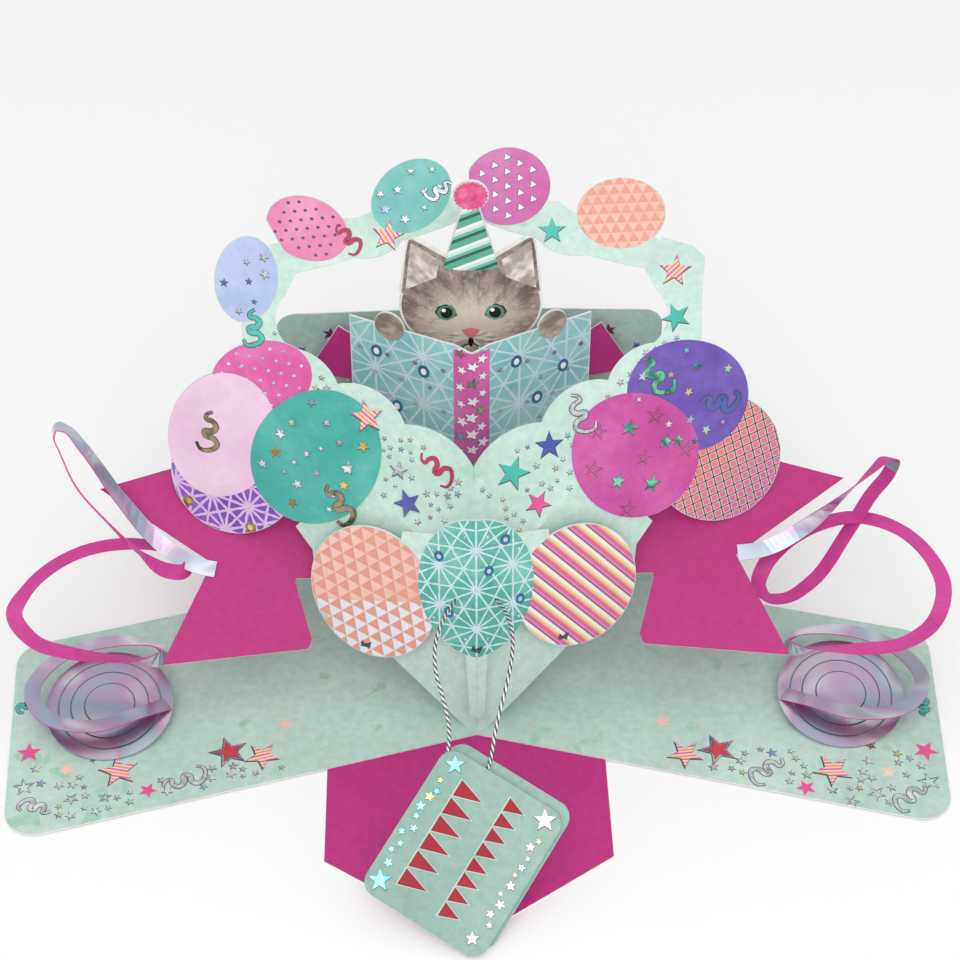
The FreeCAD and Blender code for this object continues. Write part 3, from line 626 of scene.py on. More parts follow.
bm = new_film()
balloon(bm, left_dotted, 0, DOTTED)
dots_on(bm, left_dotted, 4.2, 0.62, 3, SILVER)
balloon(bm, left_lattice, 1, LATTICE)
dots_on(bm, left_lattice, 7.8, 0.5, 4, GOLD)
ringed_dots(bm, ((64.0, -42.5), (84.2, -52.0)), (24, (1.9, 1.9), 4, BROWN), (16, (1.0, 1.0), 6, GOLD))
balloon(bm, left_pale, 7, PALE)
squiggle(bm, 94.9, -26.8, 12.5, 120, 10, BROWN, 1.7)
balloon(bm, left_teal, 10, WASH)
scatter_on(bm, left_teal, 19, 5, 13, [SILVER, HOLOGRAM, GOLD, SILVER], (0.9, 2.3))
squiggle(bm, 49.5, -12.5, 12.5, 80, 13, BROWN, 1.9)
balloon(bm, left_lavender, 2, LAVENDER)
scatter_on(bm, left_lavender, 7, 8, 5, [SILVER, NAVY, SILVER])
squiggle(bm, 107.0, 11.5, 10.5, 110, 5, TEAL, 1.7)
ring_left = [(34.5, 5.3, 4.4, 10, NAVY), (62.2, 16.8, 5.4, 20, CANDY), (43.6, 11.2, 2.8, 40, SILVER)]
for t, s, radius, turn, finish in ring_left:
    star(bm, t, s, radius, turn, 13, finish, 0.45)
squiggle(bm, 35.0, 20.5, 11.5, 60, 0, CRIMSON, 1.9, 0.0)


def strewn_on_ring(chance):
    t = chance.uniform(22, 104)
    return t, chance.uniform(1.5, 24 if t < 50 else 16)


taken = [spot[:3] for spot in ring_left] + [(35.0, 20.5, 5.5), (107.0, 11.5, 5), (64.9, -6.1, 21.5),
                                            (93.8, 0.6, 15.0)]
confetti(bm, taken, 30, strewn_on_ring, 21, (0.6, 1.2), 1.8)
fold_over(bm, flipped(trough_panel), flipped(wing_panel))
sheet_print("wreath_prints_left", bm, balloon_finishes)

bm = new_film()
balloon(bm, right_comb, 0, COMB)
balloon(bm, right_violet, 3, VIOLET)
scatter_on(bm, right_violet, 13, 15, 6, [SILVER, HOLOGRAM, GREEN], (0.9, 2.0))
squiggle(bm, 96.0, -15.5, 11.5, 190, 6, NAVY, 2.0, 0.5)
squiggle(bm, 88.0, 7.0, 12.0, 140, 6, GREEN, 1.8)
balloon(bm, right_rose, 6, ROSE)
for t, s, radius in ((62.5, -19.0, 2.9), (75.0, -11.5, 2.4), (70.0, 1.5, 2.6), (55.5, -9.0, 2.6)):
    star(bm, t, s, radius, 15, 9, GREEN, 0.4)
for t, s, radius in ((78.0, -2.0, 3.2), (52.5, 0.5, 3.0), (66.0, -10.0, 2.8), (77.5, -19.5, 3.4),
                     (51.0, -19.5, 3.2), (62.0, 8.0, 2.8)):
    # Dark outline set a little aside under the pink one: painted shadow of its embossed edge.
    outlined_star(bm, t + 0.15, s, radius + 0.2, 15, 9, DARK_INK_AND_PAINTED_SHADOW, 0.75)
    outlined_star(bm, t, s, radius, 15, 10, PINK, 0.35)
ring_right = [(34.2, 19.2, 5.6, 10, TEAL), (48.5, 16.9, 4.6, 30, NAVY), (33.2, 5.7, 4.2, 0, PINK),
              (115.4, 28.0, 5.2, 20, CANDY), (105.0, 16.5, 4.6, 50, TEAL)]
for t, s, radius, turn, finish in ring_right:
    star(bm, t, s, radius, turn, 0, finish, 0.45)
squiggle(bm, 62.9, 16.4, 12.0, 130, 9, SILVER, 1.5)
taken = [spot[:3] for spot in ring_right] + [(62.9, 16.4, 5.0), (65.1, -7.9, 20.5), (89.9, -6.3, 18.5)]
confetti(bm, taken, 30, strewn_on_ring, 31, (0.6, 1.2), 1.8)
fold_over(bm, trough_panel, wing_panel)
sheet_print("wreath_prints_right", bm, balloon_finishes)


def crown_film(name, balloons, details, place):
    """Prints of the hoop's crown, cut off at its fold and at the middle fold."""
    bm = new_film()
    for shape, finish in balloons:
        balloon(bm, shape, 0, finish)
    details(bm)
    cut_film(bm, (0, 0.3 * MM, 0), (0, 1, 0), True)
    lay_on(bm, place)
    cut_film(bm, (0, 0, 0), (place.col[0].x, 0, 0), True)
    sheet_print(name, bm, balloon_finishes)


crown_left = [(126.2, 10.2, 13.6, 10.2, 143.0), (119.7, 44.4, 14.2, 11.0, 79.0)]
crown_right = [(127.8, 15.0, 14.2, 11.6, 120.0), (119.2, 51.3, 13.9, 12.9, 124.0)]


def left_details(bm):
    """Dots and a curl on the pink balloon, stars on the teal one and a star beside it."""
    dots_on(bm, crown_left[0], 3.4, 0.6, 3, DARK_INK_AND_PAINTED_SHADOW)
    squiggle(bm, 117.0, 19.5, 9.5, 50, 3, CRIMSON, 1.7, 0.0)
    scatter_on(bm, crown_left[1], 9, 41, 3, [SILVER, HOLOGRAM], (0.9, 1.8))
    star(bm, 112.0, 31.5, 5.0, 20, 0, CANDY, 0.4)
    squiggle(bm, 117.5, 53.0, 8.0, 150, 3, SILVER, 1.3)


def right_details(bm):
    """White triangles with a dark edge on the magenta balloon, and the star beside it."""
    t, s, tall, broad, _ = crown_right[1]
    for i in range(-4, 5):
        for j in range(-4, 5):
            x, y = i * 4.2, (j + 0.5 * (i % 2)) * 4.6
            if (x / tall) ** 2 + (y / broad) ** 2 < 0.72:
                for size, level, finish in ((1.55, 3, DARK_INK_AND_PAINTED_SHADOW), (1.25, 4, WHITE)):
                    cut_form(bm, 3, (size, size), 200, (t + x, s + y), level, finish)
    star(bm, 112.8, 32.0, 4.2, 10, 0, TEAL, 0.4)


crown_film("crown_prints_left", zip(crown_left, (HOOP_PINK, HOOP_TEAL)), left_details, flipped(crown_panel))
crown_film("crown_prints_right", zip(crown_right, (HOOP_PEACH, HOOP_MAGENTA)), right_details, crown_panel)

# Balloon trio: a folded piece in front of the kite with a lattice balloon on the centre fold, a bunting
# balloon and a striped one beside it, dark tied knots, and two holes for the tag's cord.
kite_out = (wing_fold - kite_fold * wing_fold.dot(kite_fold)).normalized()
kite_front = front_of(panel(hub, kite_fold, kite_out))
trio_panel = panel(foot - Vector((0, 4.5 * MM / -kite_front.y, 0)), kite_fold, kite_out)
teal_lattice = watercolour("teal_lattice_print", ["2F9580", "55AE9C", "86C6B8"],
                           pattern=lattice(14.0, 1.15, "C3DDE2"))
peach_bunting = watercolour("peach_bunting_print", ["E3AE9C", "E7BAAA", "EAC6BA"],
                            pattern=bunting(4.6, "DB9884", -3.0))
gold_stripe = striped("gold_stripe_print", ["D4609C", "D4609C", "DDB06C", "E9C98E", "F4F1F2", "F4F1F2",
                                            "7E5E6C", "E07FAE"], 4.4, 30, (4, 5))
knot_ink = plain_print("knot_ink", "3A5058", "2A3E46")
blue_ink = plain_print("blue_ink", "2A6FA0", "1F5C8C")
trio_finishes = [silver, teal_lattice, peach_bunting, gold_stripe, knot_ink, blue_ink]
CENTRE, LEFT, RIGHT, KNOT, BLUE = range(1, 6)
dress("balloon_trio", both_fronts(trio_panel), ring_mint, bare)
trio_mid = (55.9, 0.0, 24.5, 19.4, 0.0)
bm = new_film()
balloon(bm, (48.9, -34.5, 23.6, 21.0, -8.0), 0, LEFT)
balloon(bm, (50.4, 34.0, 22.0, 20.5, -14.0), 0, RIGHT)
balloon(bm, trio_mid, 3, CENTRE)
dots_on(bm, trio_mid, 7.0, 0.5, 7, SILVER, 0.92)
ringed_dots(bm, ((72.0, 9.5), (66.0, -12.0), (50.0, 14.5), (46.5, -9.0), (62.0, 4.0)),
            (20, (1.9, 1.6), 7, BLUE), (14, (0.8, 0.7), 9.5, SILVER))
for t, s, turn in ((29.2, -37.4, -8), (32.6, 29.6, -14), (34.4, 0.0, 0)):
    for lean in (-28, 28):
        cut_form(bm, 3, (1.7, 1.2), 180 + turn + lean, (t, s + lean * 0.03), 7, KNOT)
fold_over(bm, trio_panel, turned_over(flipped(trio_panel)))
sheet_print("trio_prints", bm, trio_finishes)

# Gift box front: two walls folded towards the viewer, printed with a teal lattice and a pink ribbon of
# foil stars down the fold, with the kitten's paws printed on the rim.
box_turn = math.radians(26.0)
box_out = Vector((math.cos(box_turn), math.sin(box_turn), 0))
box_panel = panel(Vector((0, 75.0, 1.0)) * MM, UP, box_out)
wrap_edge = 20.0                    # side of the triangles on the gift wrap
wrap_print = watercolour("box_wrap_print", ["68B4B0", "8CCAC8", "B4DEDC"], 26.0,
                         pattern=lattice(wrap_edge, 1.5, "CBDFE8"))
ribbon_pink = watercolour("box_ribbon_print", ["C8509C", "D765AB", "E07FBA"], 40.0)


def tabby(name, dark, mid, light, centre, mask=None):
    """Painted fur: soft streaks that run out from a point, with darker bars and a cream mask round it."""
    material, tree, shader, at = finish_material(name)
    about = add_node(tree, "ShaderNodeMapping", Vector=at["Object"], Location=[-value for value in centre])
    parted = add_node(tree, "ShaderNodeSeparateXYZ", Vector=about.outputs["Vector"]).outputs
    x, z = parted["X"], parted["Z"]
    angle = calc(tree, "ARCTAN2", x, z)
    reach = calc(tree, "SQRT", calc(tree, "ADD", calc(tree, "MULTIPLY", x, x), calc(tree, "MULTIPLY", z, z)))
    polar = add_node(tree, "ShaderNodeCombineXYZ", X=calc(tree, "MULTIPLY", angle, 5.0),
                     Y=calc(tree, "MULTIPLY", reach, 110.0), Z=0.0).outputs["Vector"]
    hair = noise(tree, polar, Scale=3.2, Detail=8.0, Roughness=0.75)
    streaks = ramp(tree, hair, [(0.35, dark), (0.52, mid), (0.68, light)])
    bars = ramp(tree, noise(tree, polar, Scale=0.95, Detail=2.0), [(0.42, "968C86"), (0.56, "FFFFFF")])
    colour = blend(tree, 0.7, streaks, bars, "MULTIPLY")
    if mask:
        ragged = calc(tree, "ADD", calc(tree, "DIVIDE", reach, mask), hair)
        colour = blend(tree, ramp(tree, ragged, [(0.72, "E6E6E6"), (1.0, "000000")]), colour, "E6DACF")
    return coloured(material, tree, shader, at["Object"], colour)


paw_fur = tabby("paw_fur_print", "A09288", "B5A89F", "CBC0B8", (0.0, 0.089, 0.09))
dress("gift_box_front", both_fronts(box_panel), bare, bare)
box_finishes = confetti_finishes + [wrap_print, ribbon_pink, white_ink, blue_ink, paw_fur]
WRAP, RIBBON, WHITE_INK, BLUE_INK, PAW = range(9, 14)
box_height, box_half, ribbon_half = 98.5, 43.5, 6.3
rim_dip, print_margin = 1.5, 0.3
wall_top, wall_side = box_height - print_margin, box_half - print_margin


def outline_form(bm, points, level, finish, size=(1, 1), centre=(0, 0)):
    """Flat form with a ring of corners in given places."""
    def spread(corners):
        for corner, (x, y) in zip(corners, points):
            corner.co.x, corner.co.y = x, y
    cut_form(bm, len(points), size, 0, centre, level, finish, spread)


bm = new_film()
outline_form(bm, ((wall_top - rim_dip, 0.0), (wall_top, 6.0), (wall_top, wall_side),
                  (print_margin, wall_side), (print_margin, -wall_side), (wall_top, -wall_side),
                  (wall_top, -6.0)), 0, WRAP)
outline_form(bm, ((1, 1), (-1, 1), (-1, -1), (1, -1)), 3, RIBBON, (48.2, ribbon_half), (48.6, 0))
chance = random.Random(77)
for i in range(34):
    t, s = 96.2 - i * 2.35 - chance.uniform(0, 0.5), (-3.7, 3.5, 0.2)[i % 3] + chance.uniform(-0.4, 0.4)
    star(bm, t, s, chance.uniform(1.7, 2.5), chance.uniform(-8, 8), 6,
         WHITE_INK if i % 5 else HOLOGRAM, 0.28)
for i in range(-3, 12):
    for j in range(-6, 7):
        t, s = i * wrap_edge / 2 * math.sqrt(3) / 2, (j + 0.5 * (i % 2)) * wrap_edge / 2
        if 4 < t < 94 and ribbon_half + 2 < abs(s) < box_half - 3:
            cut_form(bm, 10, (0.9, 0.9), 0, (t, s), 6, SILVER)
ringed_dots(bm, ((88.0, 16.0), (80.0, 33.5), (84.0, -17.0), (87.0, -34.0), (70.0, 24.0), (66.0, -27.0)),
            (24, (2.5, 2.0), 6, BLUE_INK), (16, (1.3, 1.0), 8.5, WHITE_INK))
for paw in (-29.0, 29.0):
    cut_form(bm, 40, (5.3, 5.1), 0, (box_height, paw), 9, PAW)
fold_over(bm, box_panel, turned_over(flipped(box_panel)))
sheet_print("box_prints", bm, box_finishes)

# Kitten card: a flat cut-out behind the box front, painted as a grey tabby kitten under a striped party
# hat with a pom-pom, with a narrow white margin round the drawing.
kitten_panel = panel(Vector((0, 89.0, 0)) * MM, Vector((1, 0, 0)), UP)
dress("kitten_card", [front_of(kitten_panel)], bare, bare)
fur = tabby("tabby_fur_print", "76675E", "9E8E85", "C6B9AF", (0.0, 0.089, 0.096), 0.042)
muzzle_fur = tabby("muzzle_fur_print", "DCCFC6", "EFE6DF", "F8F4F0", (0.0, 0.089, 0.094))
ear_skin = tabby("inner_ear_print", "D6C8C4", "EAE0DC", "F6F1EF", (0.0, 0.089, 0.1))
nose_ink = plain_print("nose_ink", "E8808A", "DC727E")
eye_line = plain_print("eye_line_ink", "3E3431", "332B29")
iris_ink = plain_print("iris_ink", "6E9C82", "4A7A66", 0.3)
pupil_ink = plain_print("pupil_ink", "12181A", "0B0F10", 0.2)
hat_stripe = striped("hat_stripe_print", ["F2F6F2", "5DAE94", "5DAE94", "2F5E58", "6DB9A2", "CFE6DC"],
                     6.6, -24)
pom_print = watercolour("pom_print", ["CF3A72", "E2588C", "F08CB0"], 260.0)
kitten_finishes = [fur, muzzle_fur, ear_skin, nose_ink, eye_line, iris_ink, pupil_ink, hat_stripe, pom_print,
                   white_ink]
FUR, MUZZLE, EAR, NOSE, LINE, IRIS, PUPIL, HAT, POM, GLINT = range(10)
neck_half, head_height = 17.2, 107.0
ear = [(22.0, 112.0), (20.3, 128.0), (19.4, 132.6), (18.4, 132.9), (8.0, 125.6), (4.0, 115.0)]
inner_ear = [(20.8, 113.5), (19.5, 126.0), (18.9, 131.2), (17.9, 131.1), (9.8, 124.5), (11.0, 118.0)]
eye_rim = [(4.4, 102.8), (5.3, 105.6), (7.9, 107.4), (10.6, 106.4), (11.6, 104.2), (10.1, 101.7),
           (7.4, 100.9)]
bm = new_film()
outline_form(bm, [(neck_half, 2.0), (neck_half, 100.0), (-neck_half, 100.0), (-neck_half, 2.0)], 0, FUR)
cut_form(bm, 72, (22.2, 18.7), 0, (0, head_height), 2, FUR)
for side in (-1, 1):
    for outline, level, finish in ((ear, 4, FUR), (inner_ear, 7, EAR), (eye_rim, 7, LINE)):
        outline_form(bm, [(side * x, z) for x, z in outline], level, finish)
    eye = side * 7.8
    for corners, size, centre, level, finish in (
            (36, (3.0, 2.85), (eye, 104.0), 10, IRIS), (28, (1.9, 2.1), (eye, 104.0), 13, PUPIL),
            (16, (0.7, 0.7), (eye - 0.9, 105.1), 16, GLINT),
            (40, (4.7, 3.9), (side * 3.8, 92.0), 5, MUZZLE)):
        cut_form(bm, corners, size, 0, centre, level, finish)
    for k in range(3):
        outline_form(bm, [(side * 4.4, 92.6 - k * 1.3), (side * 14.5, 94.6 - k * 2.4),
                          (side * 4.4, 92.3 - k * 1.3)], 12, GLINT)
outline_form(bm, [(2.9, 97.0), (0.0, 97.8), (-2.9, 97.0), (-1.7, 94.6), (0.0, 93.6), (1.7, 94.6)], 10, NOSE)
outline_form(bm, [(0.15, 93.7), (-0.15, 93.7), (-0.15, 91.8), (-2.8, 90.4), (-2.7, 90.1), (0.0, 91.3),
                  (2.7, 90.1), (2.8, 90.4), (0.15, 91.8)], 10, LINE)
outline_form(bm, [(8.7, 121.9), (2.2, 145.2), (-2.2, 145.2), (-8.7, 121.9), (-4.0, 120.9), (0.0, 120.6),
                  (4.0, 120.9)], 11, HAT)


def ruffled(corners):
    """Wavy edge of the pom-pom."""
    for corner in corners[::2]:
        corner.co *= 0.9


cut_form(bm, 44, (5.4, 5.3), 0, (0, 149.0), 14, POM, ruffled)
lay_on(bm, kitten_panel)
sheet_print("kitten_prints", bm, kitten_finishes)

# Back wall and rear sheet: a folded mint wall with foil stars behind everything, and a magenta sheet
# before it whose two pointed tails show beside the box. Both stand on the rear part of the base.
dress("rear_tails", [Vector((0, -1, 0))], magenta, magenta)
wall_turn = math.radians(4.0)
wall_panel = panel(Vector((0, 112.0, 1.0)) * MM, Vector((math.cos(wall_turn), -math.sin(wall_turn), 0)), UP)
wall_mint = printed_card("wall_mint_print", ["AFCEC5", "BBD8CF", "C7E1D9"], 20.0, "A6D0C0", 0.66)
dress("back_wall", both_fronts(wall_panel), wall_mint, bare)


def strewn_on_wall(chance):
    return chance.uniform(4, 61), chance.uniform(6, 83)


for name, place, seed in (("wall_prints_right", wall_panel, 51),
                          ("wall_prints_left", flipped(wall_panel), 49)):
    bm = new_film()
    star(bm, 47.0, 79.5, 2.3, 10, 0, SILVER, 0.4)
    star(bm, 56.5, 73.0, 1.8, 40, 0, NAVY, 0.0)
    confetti(bm, [(47.0, 79.5, 2.2), (56.5, 73.0, 1.8)], 26, strewn_on_wall, seed, (0.7, 1.3), 4.0)
    lay_on(bm, place)
    sheet_print(name, bm, confetti_finishes)

# Ribbon tails: one magenta sheet that slopes up behind the kite and is cut to swallow tails at both
# sides. The wings of the wreath lock into its two slots.
tail_rise = math.radians(32.6)
tail_front = Vector((0, -math.sin(tail_rise), math.cos(tail_rise)))
dress("ribbon_tails", [tail_front], magenta, magenta)

# Streamers: springs of narrow card, magenta on one face and hologram foil on the other, each glued by
# one end to the ribbon tails and ending in a foil coil on the base.
DISC_CENTRE, DISC_RADIUS, DISC_TILT = Vector((118.8, 11.5)) * MM, 20.5 * MM, math.radians(10.0)
FOIL_CARD, STREAMER_WIDTH = 0.4 * MM, 5.2 * MM
TAIL_HEIGHT = 19.1                  # of the ribbon tails' plane at y = 0, in millimetres
GRIP_GAP, COIL_OVERLAP = 0.1 * MM, 1.8 * MM
TURNED = 5                          # stations of the spring before its foil face comes to the front
# A streamer's grip is given by x and y on the ribbon tails, its spring by stations: a place in millimetres
# and the way that the strip's face looks there.
grip_right = [(85.0, 38.1), (89.5, 38.4), (94.0, 39.2)]
grip_left = [(-83.2, 35.7), (-86.8, 36.3), (-90.4, 37.3)]
spring_right = [
    (104, 42, 48.4, 0, 0.8, -0.6), (120.2, 50, 57.5, -0.6, 0.8, 0.4), (129.2, 55.5, 63, -0.6, 0.3, 0.7),
    (133.8, 59, 64.6, -0.1, 0.4, 0.9), (136.6, 60.6, 63, 0.5, 0.7, 0.5), (136.2, 60, 59.2, 0.7, 0.4, -0.5),
    (129.6, 54.5, 52.8, 0.5, 0.2, -0.9), (121.7, 46, 44.6, 0.6, 0.2, -0.8),
    (108.8, 34, 33.1, 0.4, 0.1, -0.9), (100.6, 30.4, 30.2, 0.2, -0.1, -1),
    (94.8, 30.8, 30.4, -0.4, -0.1, -0.9), (92.4, 34.4, 32.4, -0.4, 0.4, -0.8),
    (94.4, 39, 36.2, 0.1, 0.7, -0.8), (100.5, 43.6, 41.2, 0.4, 0.3, -0.9),
    (109.1, 47, 45.2, 0.3, 0.1, -0.9), (124.8, 49.5, 47.8, 0, 0.1, -1),
    (139.2, 45.5, 45.2, -0.3, 0.2, -0.9), (148.4, 38, 39.6, -0.3, 0.4, -0.9), (151.6, 30, 35, 0, 0.6, -0.8),
    (147.9, 20.6, 28.4, 0.3, 0.3, -0.9), (138.6, 14.8, 25.2, 0.1, 0, -1), (123.8, 12.6, 24.6, 0, 0, -1),
    (110, 14.8, 22.8, 0, -0.6, -0.8), (102, 21, 17, -1, -0.2, 0.1), (106, 30, 13.5, -0.2, 0.5, 0.8),
    (122, 33, 12.2, 0, 0, 1), (138, 26, 11, 0.1, -0.1, 1), (145, 12, 10, 0, -0.1, 1),
    (139, 2, 9.4, 0, 0, 1), (122, -1, 9, 0, 0, 1), (107, 6, 8, -0.1, 0.1, 1)]
spring_left = [
    (-99.2, 42, 46, -0.1, 0.6, -0.8), (-113.4, 50, 61.2, -0.7, 0.3, -0.6),
    (-124.3, 57.5, 76.4, -0.8, 0.1, -0.6), (-129.2, 60.3, 81.4, -0.5, -0.2, -0.8),
    (-132.2, 60.7, 82, 0.6, -0.1, -0.8), (-133.2, 59, 79, 1, 0.2, -0.1), (-131.6, 56.6, 75, 0.9, 0.4, 0.2),
    (-126.8, 50, 66.1, 0.8, 0.5, 0.3), (-117.6, 44, 56.4, 0.7, 0.6, 0.4), (-107, 37.6, 48.2, 0.6, 0.7, 0.3),
    (-98.6, 34.4, 43.2, 0, 0.9, -0.4), (-93.4, 35.4, 41.8, -0.7, 0.6, -0.3),
    (-92.2, 38.8, 41.6, -0.9, -0.2, -0.3), (-95.6, 42.2, 43.2, -0.5, -0.5, -0.7),
    (-102, 43.8, 45, -0.2, -0.2, -1), (-111, 44.2, 46, 0, 0, -1), (-130.1, 42, 43, 0.3, 0.1, -0.9),
    (-145, 35, 34.2, 0.4, 0.3, -0.9), (-148.4, 28.4, 31, -0.1, 0.6, -0.8),
    (-142.4, 21.2, 26, -0.3, 0.2, -0.9), (-129.4, 16.8, 24, 0, 0, -1),
    (-113.3, 15.6, 22.4, -0.1, -0.4, -0.9), (-101.4, 20, 17.6, 0.9, -0.3, 0.2),
    (-104, 29, 14, 0.3, 0.5, 0.8), (-120, 33, 12.4, 0, 0, 1), (-136.5, 27, 11, -0.1, 0, 1),
    (-143.5, 13, 10.2, 0, -0.1, 1), (-138, 3, 9.4, 0.1, 0, 1), (-122, -1, 9, 0, 0, 1),
    (-107, 6, 8, 0.1, 0.1, 1)]
coil_foil = foil("coil_foil", ["A9A7B4", "CFCDD6", "AEC0CE", "C6AEC8", "DEDEE4", "9FB0AE"], 30.0, 0.36)
streamer_magenta = printed_card("streamer_magenta", ["C02A84", "CC3590", "D7459C"], 14.0)


def streamer(node, grip, spring, side):
    """Strip grown station by station along its line, then given its thickness; and the coil."""
    slope = math.tan(tail_rise)
    off_tail = tail_front * (CARD / 2 + FOIL_CARD / 2 + GRIP_GAP)
    start = [Vector((x, y, TAIL_HEIGHT + slope * y)) * MM + off_tail for x, y in grip]
    disc_height = base_top + DISC_RADIUS * math.sin(DISC_TILT) + FOIL_CARD
    centre = Vector((side * DISC_CENTRE.x, DISC_CENTRE.y, disc_height))
    plate_up = Vector((0, -math.sin(DISC_TILT), math.cos(DISC_TILT)))
    end = centre - Vector((side * (DISC_RADIUS - COIL_OVERLAP), 0, 0)) + plate_up * FOIL_CARD / 2
    facings = [-tail_front] * len(grip) + [Vector(station[3:]) for station in spring] + [plate_up]
    line = spline_points(start + [Vector(station[:3]) * MM for station in spring] + [end], 6)
    sides, rises, fronts = [], [], []
    for k, (middle, leg, share) in enumerate(line):
        ahead = (line[min(k + 1, len(line) - 1)][0] - line[max(k - 1, 0)][0]).normalized()
        facing = facings[leg].lerp(facings[leg + 1], share)
        across = facing.cross(ahead).normalized() * STREAMER_WIDTH / 2
        rise = ahead.cross(across).normalized() * FOIL_CARD / 2
        sides.append((middle + across - rise, middle - across - rise))
        rises.append(rise)
        fronts.append((middle, (-facing if leg < len(grip) + TURNED else facing).normalized()))
    bm = bmesh.new()
    pairs = grow_strip(bm, sides)
    lifts = {corner.co.copy().freeze(): 2 * rise for pair, rise in zip(pairs, rises) for corner in pair}
    for corner in grown_corners(bm, bm.faces):
        corner.co += lifts[corner.co.copy().freeze()]
    bmesh.ops.recalc_face_normals(bm, faces=bm.faces)
    for face in bm.faces:
        spot = face.calc_center_median()
        _, front = min(fronts, key=lambda station: (station[0] - spot).length_squared)
        face.material_index = 1 if face.normal.dot(front) > 0.5 else 0
    strip = sheet_print(node + "_strip", bm, [streamer_magenta, coil_foil])
    bm = bmesh.new()
    for inner, outer, lift in ((0.0, 7.9, 0.5), (8.3, 12.3, 0.25), (12.8, 16.2, 0.1), (16.8, 20.5, 0.0)):
        edges = {}
        for radius in (inner, outer):
            if radius:
                ring = bmesh.ops.create_circle(bm, cap_ends=not inner, radius=radius * MM, segments=64)
                bmesh.ops.translate(bm, vec=(0, 0, lift * MM), verts=ring["verts"])
                edges.update((e, radius) for v in ring["verts"] for e in v.link_edges)
        if inner:
            bmesh.ops.bridge_loops(bm, edges=list(edges))
    bmesh.ops.translate(bm, vec=(0, 0, FOIL_CARD), verts=grown_corners(bm, bm.faces))
    along = Vector((0, math.cos(DISC_TILT), math.sin(DISC_TILT)))
    place = Matrix((Vector((1, 0, 0)), along, plate_up)).transposed().to_4x4()
    place.translation = centre - plate_up * FOIL_CARD / 2
    bmesh.ops.transform(bm, matrix=place, verts=bm.verts)
    coil = sheet_print(node + "_coil", bm, [coil_foil])
    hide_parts(node)
    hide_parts(node)


streamer("streamer_right", grip_right, spring_right, 1)
streamer("streamer_left", grip_left, spring_left, -1)

# Tag: two leaves of mint card with rounded corners, foil stars down both sides and two rows of small
# crimson bunting flags, hung on its cord over the front flap.
tag_lean, tag_turn = math.radians(30.0), math.radians(57.0)
tag_up = Vector((0, math.cos(tag_lean), math.sin(tag_lean)))
tag_long = Vector((1, 0, 0)) * math.cos(tag_turn) + tag_up * math.sin(tag_turn)
tag_wide = Vector((-1, 0, 0)) * math.sin(tag_turn) + tag_up * math.cos(tag_turn)
tag_panel = panel(Vector((-1.6, -88.5, 0.55)) * MM, tag_long, tag_wide)
tag_mint = printed_card("tag_mint_print", ["8DB0A4", "98BAAE", "A4C4B9"], 22.0, "8FB8A8", 0.66)
for leaf in ("tag_front", "tag_back"):
    dress(leaf, [front_of(tag_panel)], tag_mint, bare)
crimson_print = plain_print("crimson_print", "AA0028", "9A0022")
sun_foil = foil("sun_foil", ["E8DC4E", "F6F09A", "D9C83E"], 80.0)
cyan_foil = foil("cyan_foil", ["56D0C8", "A0F0EA", "48BEC0"], 80.0)
rose_foil = foil("rose_foil", ["E8A0B4", "F8DCE4", "DE8CA4"], 80.0)
flag_rim = plain_print("flag_rim_ink", "C4DCD4", "B4CEC4")
tag_finishes = confetti_finishes + [sun_foil, cyan_foil, rose_foil, crimson_print, flag_rim]
SUN, CYAN, ROSE_FOIL, FLAG, FLAG_RIM = range(9, 14)
bm = new_film()
for middle, first, pitch, count, tall in ((28.4, 40.5, 6.2, 6, 8.6), (14.6, 44.0, 5.2, 8, 6.0)):
    for i in range(count):
        along = first - i * pitch
        for grown, level, finish in ((0.45, 0, FLAG_RIM), (0.0, 1, FLAG)):
            half, top = pitch * 0.44 + grown, middle + tall / 2 + grown
            tip = middle - tall / 2 - 1.6 * grown
            outline_form(bm, [(along + half, top), (along - half, top), (along, tip)], level, finish)
for t, s, radius, finish in ((5.0, 37.6, 3.4, CYAN), (46.0, 37.0, 3.0, CYAN), (5.0, 5.4, 2.2, ROSE_FOIL),
                             (46.0, 5.4, 3.6, ROSE_FOIL)):
    star(bm, t, s, radius, 12, 0, finish, 0.3)
chance = random.Random(99)
for i in range(10):
    for across, hues in ((4.0, [SILVER, SILVER, ROSE_FOIL, HOLOGRAM]), (38.6, [CYAN, CYAN, SUN, CYAN])):
        star(bm, 11.0 + i * 3.2 + chance.uniform(-0.5, 0.5), across + chance.uniform(-1.4, 1.4),
             chance.uniform(0.9, 1.7), chance.uniform(0, 72), 0, chance.choice(hues), 0.2)
lay_on(bm, tag_panel)
sheet_print("tag_prints", bm, tag_finishes)

# Cord: a thin silver twisted cord that runs from one hole of the trio between the tag's leaves and back
# up to the other hole.
cord_route = [(-5.2, 14.9, 49.6), (-7.2, 9.8, 50.9), (-10.3, 3.6, 50.9), (-13.2, -4.2, 48.7),
              (-13.4, -13.0, 45.4), (-11.0, -20.2, 41.2), (-9.2, -26.0, 36.6), (-9.1, -31.5, 32.4),
              (-10.7, -37.0, 29.3), (-10.3, -41.9, 26.4), (-6.6, -45.0, 24.6), (-1.9, -44.2, 25.1),
              (1.7, -40.0, 27.5), (3.6, -34.7, 30.7), (4.9, -28.4, 36.2), (7.9, -20.2, 42.8),
              (10.4, -10.8, 47.0), (10.9, -2.8, 49.7), (9.7, 4.0, 51.1), (7.2, 9.8, 50.9), (5.2, 14.9, 49.6)]
CORD_DIAMETER = 1.2 * MM
curve = bpy.data.curves.new("tag_cord_line", "CURVE")
curve.dimensions = "3D"
spline = curve.splines.new("NURBS")
spline.points.add(len(cord_route) - 1)
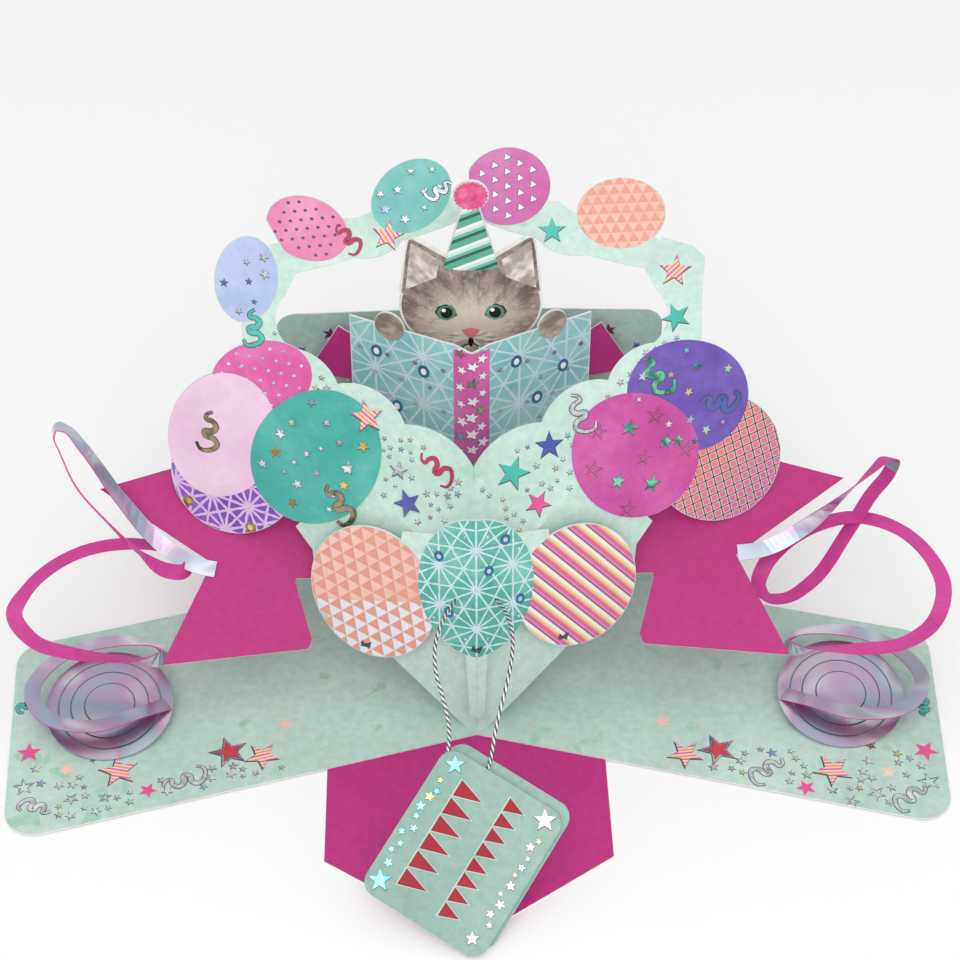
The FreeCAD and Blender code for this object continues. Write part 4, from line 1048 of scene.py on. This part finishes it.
for point, place in zip(spline.points, cord_route):
    point.co = (place[0] * MM, place[1] * MM, place[2] * MM, 1.0)
spline.order_u = 3
spline.use_endpoint_u = True
spline.resolution_u = 8
curve.bevel_depth = CORD_DIAMETER / 2
curve.bevel_resolution = 3
curve.use_fill_caps = True
cord = bpy.data.objects.new("tag_cord_silver", curve)
bpy.context.scene.collection.objects.link(cord)
cord_silver, tree, shader, at = finish_material("twisted_silver_cord", 0.3, 1.0)
parted = add_node(tree, "ShaderNodeSeparateXYZ", Vector=at["UV"]).outputs
TURNS = 70.0                        # strands laid round the cord over its length
lay = calc(tree, "MULTIPLY_ADD", parted["X"], TURNS, calc(tree, "MULTIPLY", parted["Y"], 2.0))
twist = calc(tree, "MULTIPLY_ADD", calc(tree, "SINE", calc(tree, "MULTIPLY", lay, 2 * math.pi)), 0.5, 0.5)
# The strands' colour follows the twist: dark in the grooves between them as painted shade, and brightest on
# their crests as painted highlight.
strands_with_painted_shade = ramp(tree, twist, [(0.0, "3E4244"), (0.4, "B9BDBF"), (0.8, "F5F5F3")])
tree.links.new(strands_with_painted_shade, shader.inputs["Base Color"])
bump = add_node(tree, "ShaderNodeBump", Height=twist, Strength=0.8, Distance=0.0004)
tree.links.new(bump.outputs["Normal"], shader.inputs["Normal"])
curve.materials.append(cord_silver)
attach(cord, "root")
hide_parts("tag_cord")

# Studio: a plain pale floor, three soft lamps and an even sky, and the camera that looks down on the card
# from the front, a little to the left of its middle.
floor_mesh = bpy.data.meshes.new("studio_floor")
bm = bmesh.new()
bmesh.ops.create_grid(bm, x_segments=1, y_segments=1, size=3.0)
bm.to_mesh(floor_mesh)
bm.free()
floor = bpy.data.objects.new("studio_floor", floor_mesh)
bpy.context.scene.collection.objects.link(floor)
floor_white, tree, shader, at = finish_material("floor_white", 0.9)
mottle = ramp(tree, noise(tree, at["Object"], Scale=2.0), [(0.0, "F7F7F7"), (1.0, "FAFAFA")])
tree.links.new(mottle, shader.inputs["Base Color"])
floor_mesh.materials.append(floor_white)


def lamp(name, place, aim, size, power):
    data = bpy.data.lights.new(name, "AREA")
    data.shape = "SQUARE"
    data.size = size
    data.energy = power
    made = bpy.data.objects.new(name, data)
    made.location = place
    made.rotation_euler = (Vector(aim) - Vector(place)).to_track_quat("-Z", "Y").to_euler()
    bpy.context.scene.collection.objects.link(made)


lamp("key_softbox", (-0.45, -0.70, 1.15), (0, 0.03, 0.05), 0.9, 0.6)
lamp("front_softbox", (0.0, -0.75, 0.85), (0, 0.03, 0.05), 0.9, 4.2)
lamp("top_softbox", (0.0, 0.25, 1.5), (0, 0.03, 0.05), 1.4, 0.8)
world = bpy.data.worlds.new("studio_air")
bpy.context.scene.world = world
world.use_nodes = True
sky = world.node_tree.nodes["Background"]
sky.inputs["Color"].default_value = (1, 1, 1, 1)
sky.inputs["Strength"].default_value = 0.82

looks_down = 42.0                   # degrees
camera_data = bpy.data.cameras.new("camera")
camera_data.lens = 82.5
camera_data.sensor_width = 36.0
camera_data.shift_x = 0.0067
camera = bpy.data.objects.new("camera", camera_data)
camera.location = (-0.01185, -0.47217, 0.5365)
camera.rotation_euler = (math.radians(90.0 - looks_down), 0, math.radians(-1.3))
bpy.context.scene.collection.objects.link(camera)
bpy.context.scene.camera = camera
bpy.context.scene.view_settings.view_transform = "Standard"
